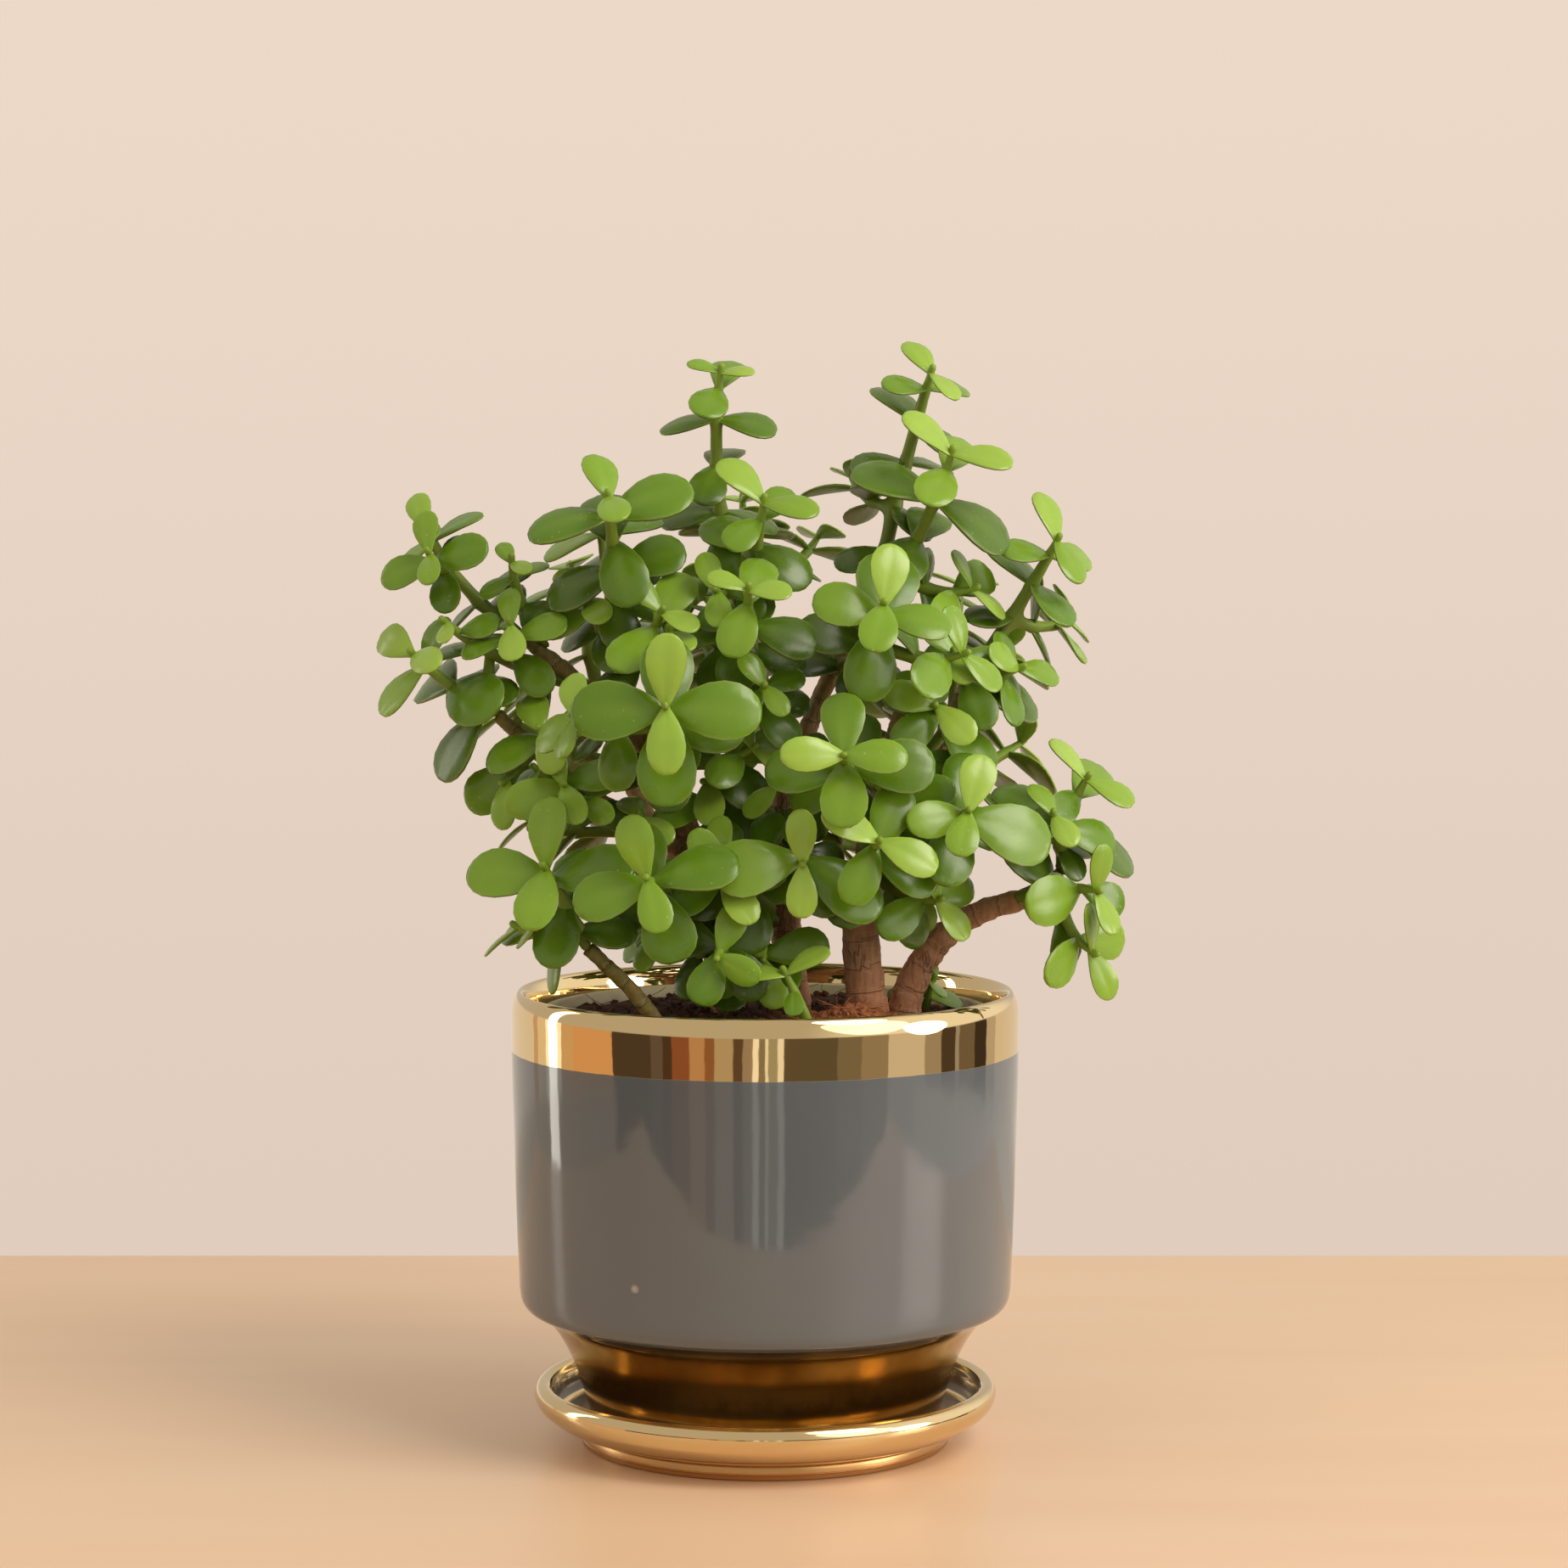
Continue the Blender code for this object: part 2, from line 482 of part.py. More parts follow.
def towards_light(face, place, grown):
    """The turn that brings a leaf's upper face nearer to the light from the front and from outside."""
    light = Vector((0.5 * place.x, place.y - 45, 50)).normalized()
    turn = face.rotation_difference(light)
    angle = min(turn.angle * LIGHT_PULL, math.radians(MOST_TURN)) * (0.75 + 0.25 * grown)
    return Matrix.Rotation(angle, 3, turn.axis)


class Leaf:
    """One paddle-shaped leaf: where it leaves the twig, the way it points, and its sections."""

    def __init__(self, twig, back, length, pair, hand, nudge):
        lift, swing, size = nudge
        place, ahead, side = twig.at(back)
        out = (side if pair % 2 == 0 else ahead.cross(side)) * hand
        out = Matrix.Rotation(math.radians(swing), 3, ahead) @ out
        spread = math.radians(SPREADS[min(pair, len(SPREADS) - 1)] - lift)
        self.length = length * LEAF_GROWTH * size
        grown = min(pair / 2, 1.0)
        self.width = self.length * (YOUNG_WIDTH + (GROWN_WIDTH - YOUNG_WIDTH) * grown)
        way = out * math.sin(spread) + ahead * math.cos(spread)
        across = ahead.cross(out).normalized()
        way.z -= SAG * (1 + grown)
        way = (way - across * way.dot(across)).normalized()
        turn = towards_light(way.cross(across), place, grown)
        self.way, self.across = turn @ way, turn @ across
        self.start = place + out * twig.radius(back) * 0.5
        self.radius = twig.radius(back)

    def section(self, share, half_width, half_thickness):
        """(centre, across, up, half width, half thickness) at a share of the curled midline."""
        bend = math.radians(LEAF_CURL) * share
        up = self.way.cross(self.across)
        turn = Matrix.Rotation(bend / 2, 3, self.across)
        centre = self.start + (turn @ self.way) * (self.length * share)
        return centre, self.across, Matrix.Rotation(bend, 3, self.across) @ up, half_width, half_thickness

    def sections(self, extra=0.0):
        thick = HALF_THICKNESS + extra
        stalk = self.section(0.02, self.radius * 0.72 + extra, NODE_HALF + extra)
        belly = self.section(0.60, self.width * 0.5 + extra, thick)
        tip = self.section(1.0 + extra / self.length, self.width * 0.27 + extra, 0.6 * thick)
        return stalk, belly, tip


def corners(section):
    centre, across, up, half_width, half_thickness = section
    signs = ((1, 1), (-1, 1), (-1, -1), (1, -1))
    return [centre + across * i * half_width + up * j * half_thickness for i, j in signs]


def loft(rings):
    """A closed surface through rings of four corners, for testing what it touches."""
    spots = [spot for ring in rings for spot in ring]
    last = 4 * (len(rings) - 1)
    faces = [(3, 2, 1, 0), (last, last + 1, last + 2, last + 3)]
    for i in range(0, last, 4):
        faces += [(i + j, i + (j + 1) % 4, i + 4 + (j + 1) % 4, i + 4 + j) for j in range(4)]
    return Solid(spots, faces)


class Solid:
    """Something in the way of a leaf: its surface and the box around it, in mm."""

    def __init__(self, spots, faces):
        self.tree = BVHTree.FromPolygons(spots, faces)
        self.low = [min(s[i] for s in spots) for i in range(3)]
        self.high = [max(s[i] for s in spots) for i in range(3)]

    def meets(self, other):
        apart = any(self.low[i] > other.high[i] or self.high[i] < other.low[i] for i in range(3))
        return not apart and bool(self.tree.overlap(other.tree))


def solid_of(piece):
    seen = piece.evaluated_get(bpy.context.evaluated_depsgraph_get()).to_mesh()
    return Solid([v.co / MM for v in seen.vertices], [tuple(p.vertices) for p in seen.polygons])


def twig_stations(twig, places):
    """Distances back from the tip, base first, with two rings at each leaf pair."""
    stops = [0.0]
    for back, _ in places:
        stops += [back - NODE_HALF, back + NODE_HALF]
    while twig.length - stops[-1] > 16:
        stops.append(stops[-1] + 12)
    stops.append(twig.length)
    return stops[::-1]


def side_twig(parent, back, pair, hand, reach):
    """A twig from the axil of a leaf: it starts sideways and turns the way its parent points."""
    place, ahead, side = parent.at(back)
    out = (side if pair % 2 == 0 else ahead.cross(side)) * hand
    tip = place + (out * 0.85 + ahead * 0.45).normalized() * reach
    heading = out * 0.6 + ahead * 0.6 + Vector((0, 0, 0.3))
    return Twig(place + out * parent.radius(back) * 0.5, tip, heading, 20)


class Growth:
    """A twig with its leaf pairs; axil is the (pair, hand) of the parent twig that it grows from."""

    def __init__(self, twig, lengths, spacing, axil=None):
        self.twig, self.axil = twig, axil
        self.places = leaf_places(twig, lengths, spacing)
        self.wood = loft([twig.ring(back) for back in twig_stations(twig, self.places)])
        self.leaves = []


def growths_of(name):
    """The shoot's main twig and its side twigs."""
    stem, share, tip, heading, roll, lengths, spacing = SHOOTS[name]
    start = Vector(SOIL_STARTS[name]) if stem == "soil" else along(STEMS[stem][1], share)
    main_growth = Growth(Twig(start, tip, heading, roll), lengths, spacing)
    found = [main_growth]
    for shoot, pair, hand, reach, side_lengths in SIDE_SHOOTS:
        if shoot == name and pair < len(main_growth.places):
            twig = side_twig(main_growth.twig, main_growth.places[pair][0], pair, hand, reach)
            found.append(Growth(twig, side_lengths, SIDE_SPACING, (pair, hand)))
    return found


def free_leaves(name, growths, obstacles):
    """Chooses for each leaf the first nudge that touches nothing, or leaves the leaf out."""
    own = [growth.wood for growth in growths]
    axils = [growth.axil for growth in growths]
    for growth in growths:
        for (pair, (back, length)), hand in itertools.product(enumerate(growth.places), (1, -1)):
            if growth is growths[0] and (pair, hand) in axils:
                continue
            for nudge in trials():
                leaf = Leaf(growth.twig, back, length, pair, hand, nudge)
                stalk, belly, tip = (corners(s) for s in leaf.sections(CLEARANCE))
                blade = loft([corners(leaf.section(0.3, leaf.width * 0.3, HALF_THICKNESS)), belly, tip])
                if any(blade.meets(other) for other in own):
                    continue
                whole = loft([stalk, belly, tip])
                if any(whole.meets(other) for key, other in obstacles if key != name):
                    continue
                own.append(blade)
                obstacles.append((name, whole))
                growth.leaves.append((pair, hand, leaf))
                break


def extrude_to(cage, face, old, new):
    """Extrudes a face whose corners lie at old and moves the new corners to new."""
    made = bmesh.ops.extrude_discrete_faces(cage, faces=[face])["faces"][0]
    for vert in made.verts:
        nearest = min(range(4), key=lambda i: (vert.co - old[i] * MM).length)
        vert.co = new[nearest] * MM
    return made


def extrude_through(cage, face, likeness, rings):
    """Extrudes a face through rings of corners, turned so that a likeness of the face matches its corners."""
    old = [vert.co / MM for vert in face.verts]
    start = min(range(4), key=lambda k: sum((old[i] - likeness[(i + k) % 4]).length for i in range(4)))
    for ring in rings:
        new = [ring[(i + start) % 4] for i in range(4)]
        face = extrude_to(cage, face, old, new)
        old = new


def side_face(cage, twig, back, pair, hand):
    """The flat side of the twig at a leaf pair, on one hand."""
    place, ahead, side = twig.at(back)
    out = (side if pair % 2 == 0 else ahead.cross(side)) * hand
    spot = (place + out * twig.radius(back) * 0.72) * MM
    return min(cage.faces, key=lambda f: (f.calc_center_median() - spot).length)


def shoot_mesh(name, growths):
    """The twig grown from a cube, ring by ring; leaves and side twigs are extruded from its flat sides."""
    cage = bmesh.new()
    bmesh.ops.create_cube(cage, size=2.0)
    twig = growths[0].twig
    rings = [twig.ring(back) for back in twig_stations(twig, growths[0].places)]
    for vert in cage.verts:
        ring = rings[1] if vert.co.z > 0 else rings[0]
        index = {(1, 1): 0, (-1, 1): 1, (-1, -1): 2, (1, -1): 3}[(round(vert.co.x), round(vert.co.y))]
        vert.co = ring[index] * MM
    end = sum(rings[1], Vector()) / 4 * MM
    face = min(cage.faces, key=lambda f: (f.calc_center_median() - end).length)
    extrude_through(cage, face, rings[1], rings[2:])
    for growth in growths[1:]:
        pair, hand = growth.axil
        face = side_face(cage, twig, growths[0].places[pair][0], pair, hand)
        stations = twig_stations(growth.twig, growth.places)[1:]
        rings = [growth.twig.ring(back) for back in stations]
        extrude_through(cage, face, rings[0], rings)
    for growth in growths:
        for pair, hand, leaf in growth.leaves:
            face = side_face(cage, growth.twig, growth.places[pair][0], pair, hand)
            stalk, belly, tip = (corners(s) for s in leaf.sections())
            extrude_through(cage, face, stalk, [belly, tip])
    bmesh.ops.recalc_face_normals(cage, faces=cage.faces)
    mesh = bpy.data.meshes.new(name)
    cage.to_mesh(mesh)
    cage.free()
    return mesh


def shoots(cutters, still, ground):
    """Lays out every twig first, then fills in the leaves shoot by shoot."""
    everything = {name: growths_of(name) for name in SHOOTS}
    obstacles = [("still", solid) for solid in still]
    obstacles += [(name, growth.wood) for name, growths in everything.items() for growth in growths]
    for name, growths in everything.items():
        free_leaves(name, growths, obstacles)
        piece = add(name, shoot_mesh(name, growths), LEAF)
        if SHOOTS[name][0] == "soil":
            cut(ground, sprout_cutter(name, growths[0].twig))
        else:
            cut(piece, cutters[SHOOTS[name][0]])


def sprout_cutter(name, twig):
    """A tube a little fatter than a sprout's twig, to cut its hole in the soil."""
    points = [(*twig.at(back)[0], twig.radius(back)) for back in (twig.length, twig.length * 0.6)]
    return add("cutter_" + name, tube_mesh(name, points, 2 * GAP), BARK, CUTTERS)


# ---------------------------------------------------------------- loose pieces on the soil


def stone_chip():
    """A flat pale chip of stone that lies on the soil."""
    cage = bmesh.new()
    bmesh.ops.create_icosphere(cage, subdivisions=1, radius=1.0)
    for vert in cage.verts:
        x, y, z = vert.co
        vert.co = Vector((x * 6.5 + 1.2 * z, y * 4.5, z * (2.2 + 0.5 * x))) * MM
    mesh = bpy.data.meshes.new("stone_chip")
    cage.to_mesh(mesh)
    cage.free()
    made = add("stone_chip", mesh, STONE)
    made.location = Vector((45, -22, SOIL_Z + 3.6)) * MM
    made.rotation_euler = (math.radians(8), math.radians(-6), math.radians(15))
    return made


def main():
    saucer()
    turned_pieces = [pot(), nursery_pot()]
    ground = soil()
    stone_chip()
    cutters = stems(ground)
    bpy.context.view_layer.update()
    still = [solid_of(piece) for piece in turned_pieces + [ground] + list(cutters.values())]
    shoots(cutters, still, ground)
    bpy.context.view_layer.update()


main()
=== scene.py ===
"""A small-leaved jade plant in its nursery pot, inside a glazed pot that stands on a saucer.

Metres, +Z up. The origin is the middle of the saucer's underside, and -Y is the plant's front.
"""

import math
import random
from collections import namedtuple

import bmesh
import bpy
from mathutils import Matrix, Vector
from mathutils.kdtree import KDTree
from mathutils.noise import noise


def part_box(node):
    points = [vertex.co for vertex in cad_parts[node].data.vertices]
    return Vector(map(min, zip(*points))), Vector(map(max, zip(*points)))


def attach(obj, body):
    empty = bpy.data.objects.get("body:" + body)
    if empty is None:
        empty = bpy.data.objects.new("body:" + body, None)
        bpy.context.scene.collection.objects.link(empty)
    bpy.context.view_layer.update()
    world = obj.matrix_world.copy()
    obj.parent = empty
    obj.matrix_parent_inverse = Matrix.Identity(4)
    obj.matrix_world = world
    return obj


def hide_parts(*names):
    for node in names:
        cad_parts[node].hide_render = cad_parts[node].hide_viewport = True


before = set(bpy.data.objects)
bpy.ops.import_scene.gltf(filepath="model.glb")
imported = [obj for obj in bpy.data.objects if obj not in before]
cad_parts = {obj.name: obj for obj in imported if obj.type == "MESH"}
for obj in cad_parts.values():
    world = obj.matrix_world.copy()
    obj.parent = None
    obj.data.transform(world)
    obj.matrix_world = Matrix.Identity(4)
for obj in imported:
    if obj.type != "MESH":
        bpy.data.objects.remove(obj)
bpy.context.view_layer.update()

# ------------------------------------------------------------------------------------------- saucer
# A dish thrown in stoneware on a low base ring. Its floor is glazed grey, and its lip and outside are
# brushed with gold lustre, which is fired on last.
MM = 0.001
TURN_STEPS = 144
GOLD_SHARP = 0.15 * MM  # how sharply the gold stops


def ink(red, green, blue):
    """A linear colour from its 0 to 255 display values."""
    shares = [value / 255 for value in (red, green, blue)]
    return (*[s / 12.92 if s < 0.04045 else ((s + 0.055) / 1.055) ** 2.4 for s in shares], 1.0)


class Wire:
    """A socket of some wiring, whose arithmetic adds Math nodes."""

    def __init__(self, wiring, socket):
        self.wiring, self.socket = wiring, socket

    def __add__(self, other):
        return self.wiring.maths("ADD", self, other)

    def __sub__(self, other):
        return self.wiring.maths("SUBTRACT", self, other)

    def __rsub__(self, other):
        return self.wiring.maths("SUBTRACT", other, self)

    def __mul__(self, other):
        return self.wiring.maths("MULTIPLY", self, other)

    def __pow__(self, other):
        return self.wiring.maths("POWER", self, other)

    __radd__, __rmul__ = __add__, __mul__


class Wiring:
    """The nodes of one tree."""

    def __init__(self, tree):
        self.tree = tree

    def join(self, socket, value):
        if isinstance(value, Wire):
            self.tree.links.new(value.socket, socket)
        else:
            socket.default_value = value

    def node(self, kind, settings=None, sockets=None, output=0):
        """Adds a node with its settings, and with values or links on its sockets. Gives one output."""
        made = self.tree.nodes.new("ShaderNode" + kind)
        for name, value in (settings or {}).items():
            if name == "stops":
                for _ in value[2:]:
                    made.color_ramp.elements.new(1.0)
                for element, (place, colour) in zip(made.color_ramp.elements, value):
                    element.position, element.color = place, colour
            else:
                setattr(made, name, value)
        for name, value in (sockets or {}).items():
            self.join(made.inputs[name], value)
        return Wire(self, made.outputs[output])

    def maths(self, operation, *values):
        return self.node("Math", {"operation": operation}, dict(enumerate(values)))

    def mix(self, share, first, second):
        return self.node("Mix", {"data_type": "RGBA"}, {0: share, 6: first, 7: second}, 2)

    def ramp(self, share, *stops):
        return self.node("ValToRGB", {"stops": stops}, {0: share})

    def step(self, value, start, end):
        """0 before start and 1 past end, with a smooth rise between them."""
        settings = {"interpolation_type": "SMOOTHSTEP"}
        return self.node("MapRange", settings, {"Value": value, "From Min": start, "From Max": end})

    def axis(self, vector, letter):
        return self.node("SeparateXYZ", None, {0: vector}, letter)


class Finish(Wiring):
    """A material around one Principled shader, with its unchanging values straight on the sockets."""

    def __init__(self, name, **fixed):
        self.material = bpy.data.materials.new(name)
        self.material.use_nodes = True
        super().__init__(self.material.node_tree)
        self.shader = self.tree.nodes["Principled BSDF"]
        self.place = self.node("TexCoord", output="Object")
        self.feed(**fixed)

    def feed(self, **values):
        for name, value in values.items():
            self.join(self.shader.inputs[name.replace("_", " ")], value)

    def noise(self, scale, detail=2.0, place=None):
        sockets = {"Vector": place or self.place, "Scale": scale, "Detail": detail}
        return self.node("TexNoise", None, sockets)

    def stretched(self, x, y, z):
        """The place on the object, scaled by direction, so that a pattern is drawn out along one."""
        return self.node("Mapping", None, {"Vector": self.place, "Scale": (x, y, z)})

    def carried(self, name):
        """A value that the mesh carries at its points."""
        return self.node("Attribute", {"attribute_name": name}, None, "Fac")

    def bump(self, height, depth):
        """Raises the surface by up to a depth in metres, where the height is 1."""
        self.feed(Normal=self.node("Bump", None, {"Height": height, "Distance": depth}, "Normal"))

    def radius(self):
        x, y = self.axis(self.place, "X"), self.axis(self.place, "Y")
        return (x * x + y * y) ** 0.5


def choose(*pieces):
    """Selects only these pieces, with the first of them active."""
    bpy.ops.object.select_all(action="DESELECT")
    for piece in pieces:
        piece.select_set(True)
    bpy.context.view_layer.objects.active = pieces[0]


def named(name):
    """The object that was just added, renamed."""
    piece = bpy.context.object
    piece.name = piece.data.name = name
    return piece


def arc(centre, radii, start, end, count):
    """Points of an elliptical arc in a profile, with angles in degrees from the outward direction."""
    turns = [math.radians(start + (end - start) * i / (count - 1)) for i in range(count)]
    return [(centre[0] + radii[0] * math.cos(t), centre[1] + radii[1] * math.sin(t)) for t in turns]


def eased(rows, steps):
    """A smooth line through rows of numbers, with so many steps between each two of them."""
    rows = [Vector(row) for row in rows]
    rows = [rows[0] * 2 - rows[1], *rows, rows[-1] * 2 - rows[-2]]
    line = []
    for a, b, c, d in zip(rows, rows[1:], rows[2:], rows[3:]):
        for i in range(steps):
            t = i / steps
            line.append((b * 2 + (c - a) * t + (a * 2 - b * 5 + c * 4 - d) * t**2
                         + (b * 3 - a - c * 3 + d) * t**3) / 2)
    return [tuple(row) for row in [*line, rows[-2]]]


def thrown(name, profile):
    """Turns a profile of (radius, height) rows in mm: one ring rises and widens from row to row."""
    bpy.ops.object.select_all(action="DESELECT")
    radius, height = profile[0]
    place = (0, 0, height * MM)
    bpy.ops.mesh.primitive_circle_add(vertices=TURN_STEPS, radius=radius * MM, location=place)
    piece = named(name)
    bpy.ops.object.mode_set(mode="EDIT")
    for (radius, height), (wider, higher) in zip(profile, profile[1:]):
        bpy.ops.mesh.extrude_edges_move(TRANSFORM_OT_translate={"value": (0, 0, (higher - height) * MM)})
        growth, middle = wider / radius, (0, 0, higher * MM)
        bpy.ops.transform.resize(value=(growth, growth, 1), center_override=middle)
    bpy.ops.mesh.select_all(action="SELECT")
    bpy.ops.mesh.remove_doubles(threshold=1e-6)
    bpy.ops.mesh.fill_holes(sides=0)
    bpy.ops.mesh.normals_make_consistent(inside=False)
    bpy.ops.object.mode_set(mode="OBJECT")
    bpy.ops.object.transform_apply(location=True, rotation=True, scale=True)
    bpy.ops.object.shade_smooth_by_angle(angle=math.radians(35))
    return piece


floor_z, lip_r = 6.8, 59.4
dish = [(0.5, floor_z), (12, floor_z), (26, floor_z), (40, floor_z), (49, floor_z)]
dish += arc((51.5, floor_z + 4.0), (3.6, 4.0), -80, 0, 9) + [(55.3, 12.4), (55.7, 13.8)]
dish += arc((57.0, 12.6), (lip_r - 57.0, 3.0), 130, -18, 19)
dish += eased([(59.0, 10.9), (57.9, 9.2), (54.6, 6.6), (50.6, 4.9), (48.0, 4.3)], 4)
dish += [(47.4, 3.9), (47.2, 3.5), (47.4, 3.1), (47.4, 1.9), (47.0, 1.7), (47.0, 1.5), (47.2, 1.3)]
dish += [(47.0, 0.4), (46.6, 0.05), (46.2, 0), (30, 0), (12, 0), (0.5, 0)]
saucer = thrown("thrown_saucer", dish)

PALE_GOLD = ink(226, 202, 154)
GLAZE_EDGE_R = 55.75 * MM  # where the grey glaze of the saucer's floor meets the gold
SLANT = 0.45  # of the line that parts the dish's inside from its underside
lustre = Finish("saucer_lustre", IOR=1.5)
high, reach = lustre.axis(lustre.place, "Z"), lustre.radius()
above = lustre.step(high, 4.8 * MM, 5.2 * MM)
inner = lustre.step(high - reach * SLANT, -16.6 * MM, -16.4 * MM)
brush = lustre.noise(260, 3) * 0.9 * MM
glazed = above * inner * lustre.step(reach + brush, GLAZE_EDGE_R, GLAZE_EDGE_R - GOLD_SHARP * 2)
wear = lustre.noise(70, 4)
ring = lustre.step(high, 4.2 * MM, 3.6 * MM)
gold = lustre.mix(ring * 0.75, PALE_GOLD, ink(186, 138, 82))
grey = lustre.mix(wear, ink(132, 124, 116), ink(118, 110, 104))
lustre.feed(Base_Color=lustre.mix(glazed, gold, grey), Metallic=1 - glazed,
            Roughness=0.05 + wear * 0.05 + glazed * 0.12 + ring * 0.22)
lustre.bump(lustre.noise(120, 2), 0.04 * MM)
saucer.data.materials.append(lustre.material)
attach(saucer, "root")
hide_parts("saucer")

# ---------------------------------------------------------------------------------------------- pot
# A cover pot thrown in stoneware: a straight body on a flared foot that is hollow underneath. Its body
# is glazed grey, a band of gold lustre covers the lip, and a thinner one was brushed onto the foot.
foot_z, well_z, pot_r, pot_top, drain_r = 7.1, 35.5, 65.0, 116.5, 6.0
well = [(r, well_z) for r in (drain_r, 22, 40, 50.5)] + arc((53.0, 41.0), (5.5, 5.5), -80, 0, 9)
wall_inside = [(58.8, 58), (59.2, 75), (59.7, 92), (60.0, 101), (60.3, 107)]
lip = arc((62.8, 110.5), (pot_r - 62.8, pot_top - 110.5), 160, 0, 19)
body = [(64.98, 108), (64.95, 104), (64.93, 101), (64.75, 92), (64.4, 80), (64.0, 66), (63.55, 52),
        (63.2, 44)]
shoulder = eased([(63.15, 41.0), (62.7, 37.8), (61.6, 35.9), (60.1, 35.0)], 5)
foot = [(59.8, 34.8)] + eased([(59.6, 34.7), (57.4, 33.6), (55.2, 31.6), (52.3, 27.4), (49.6, 22.0),
                               (47.6, 16.2), (45.8, 10.8), (45.0, 8.0)], 4)
hollow = [(44.6, foot_z), (44.2, foot_z), (40.8, foot_z), (40.4, foot_z + 0.6)]
hollow += eased([(41.5, 10.5), (43.6, 16.0), (46.6, 26.0), (46.0, 29.8), (44.0, 31.0)], 4)
hollow += [(30, 31.0), (16, 31.0), (drain_r, 31.0), (drain_r, well_z)]
pot = thrown("thrown_pot", well + wall_inside + lip + body + shoulder + foot + hollow)

LIP_GOLD_Z, FOOT_GOLD_Z = 101.75 * MM, 34.9 * MM  # gold above the first and below the second
glaze = Finish("pot_glaze", IOR=1.72)
high = glaze.axis(glaze.place, "Z")
brush = glaze.noise(180, 3)
band = glaze.step(high + brush * 0.5 * MM, LIP_GOLD_Z, LIP_GOLD_Z + GOLD_SHARP)
below = glaze.step(high, FOOT_GOLD_Z, FOOT_GOLD_Z - GOLD_SHARP)
streaks = glaze.noise(420, 4, glaze.stretched(1, 1, 0.3))
smudge = glaze.noise(38, 3)
thin_gold = glaze.mix(glaze.step(smudge, 0.4, 0.66), ink(196, 164, 104), ink(166, 134, 80))
thin_gold = glaze.mix(glaze.step(streaks, 0.5, 0.72) * 0.35, thin_gold, ink(150, 124, 84))
body_grey = glaze.mix(smudge, ink(92, 98, 103), ink(86, 92, 98))
pits = glaze.node("TexVoronoi", None, {"Vector": glaze.place, "Scale": 34})
pinhole = glaze.step(pits, 0.06, 0.03) * glaze.step(high, 66 * MM, 60 * MM)
body_grey = glaze.mix(pinhole * 0.8, body_grey, ink(176, 168, 158))
colour = glaze.mix(band, body_grey, PALE_GOLD)
glaze.feed(Base_Color=glaze.mix(below, colour, thin_gold), Metallic=band + below,
           Roughness=0.05 - band * 0.03 + smudge * 0.03 + below * (0.04 + streaks * 0.07))
ripples = glaze.noise(60, 2) + glaze.noise(420, 2, glaze.stretched(1, 1, 0.3)) * 0.07
glaze.bump(ripples - pinhole * 2.0, 0.07 * MM)
pot.data.materials.append(glaze.material)
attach(pot, "root")
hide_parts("pot")

# -------------------------------------------------------------------------------------- nursery pot
# The thin moulded pot that the plant grew in, of recycled khaki plastic with a turned-out rim. It
# stands loose on the glazed pot's floor.
nursery_z, nursery_rim, nursery_wall = 35.8, 111.7, 1.3


def nursery_radius(z):
    """The inner radius of the nursery pot at a height, in mm."""
    return 41.5 + (z - nursery_z) * 0.187


bottom, mouth = nursery_z + nursery_wall, nursery_radius(nursery_rim)
cup = [(drain_r, bottom), (20, bottom), (nursery_radius(bottom) - 1.5, bottom)]
cup += [(nursery_radius(z), z) for z in (bottom + 1.5, 55, 75, 95, 107)]
cup += [(mouth - 0.1, nursery_rim - 0.5)] + arc((mouth + 0.7, nursery_rim - 0.5), (0.8, 0.5), 180, 90, 5)
cup += arc((mouth + 1.2, nursery_rim - 0.5), (0.7, 0.5), 90, 0, 5)
cup += [(mouth + 1.9, nursery_rim - 3.9), (mouth + 1.7, nursery_rim - 4.2)]
cup += [(mouth + 0.6, nursery_rim - 4.4)]
cup += [(nursery_radius(z) + nursery_wall, z) for z in (95, 75, 55, nursery_z + 1)]
cup += [(r, nursery_z) for r in (nursery_radius(nursery_z) + 0.4, 20, drain_r)] + [(drain_r, bottom)]
nursery = thrown("moulded_nursery_pot", cup)

plastic = Finish("khaki_plastic", IOR=1.46)
scuffs = plastic.noise(420, 5)
dust = plastic.step(plastic.noise(60, 4), 0.5, 0.75) * 0.6
plastic.feed(Base_Color=plastic.mix(dust, ink(196, 186, 146), ink(150, 122, 88)),
             Roughness=0.38 + scuffs * 0.25)
plastic.bump(scuffs, 0.05 * MM)
nursery.data.materials.append(plastic.material)
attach(nursery, "root")
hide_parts("nursery_pot")

# --------------------------------------------------------------------------------------------- soil
# A root ball of coir and bark crumbs that fills the nursery pot. Its top is loose: crumbs and coir
# fibres lie on it, and a redder heap of them is piled against the right trunk.
SOIL_Z = 108.6
RED_HEAP, HEAP_SPREAD, HEAP_RISE = (23, -25), 13, 3.6  # in mm
dice = random.Random(11)


def solid(piece):
    """Merges a piece's doubles and turns its faces outwards."""
    choose(piece)
    bpy.ops.object.mode_set(mode="EDIT")
    bpy.ops.mesh.select_all(action="SELECT")
    bpy.ops.mesh.remove_doubles(threshold=1e-6)
    bpy.ops.mesh.normals_make_consistent(inside=False)
    bpy.ops.object.mode_set(mode="OBJECT")


def applied(piece, kind, **settings):
    """Adds a modifier to a piece and applies it."""
    choose(piece)
    modifier = piece.modifiers.new(kind.lower(), kind)
    for name, value in settings.items():
        setattr(modifier, name, value)
    bpy.ops.object.modifier_apply(modifier=modifier.name)


def clouds(name, size, depth=2):
    """A cloudy unevenness for a Displace modifier, with its size in metres."""
    texture = bpy.data.textures.new(name, "CLOUDS")
    texture.noise_scale, texture.noise_depth = size, depth
    return texture


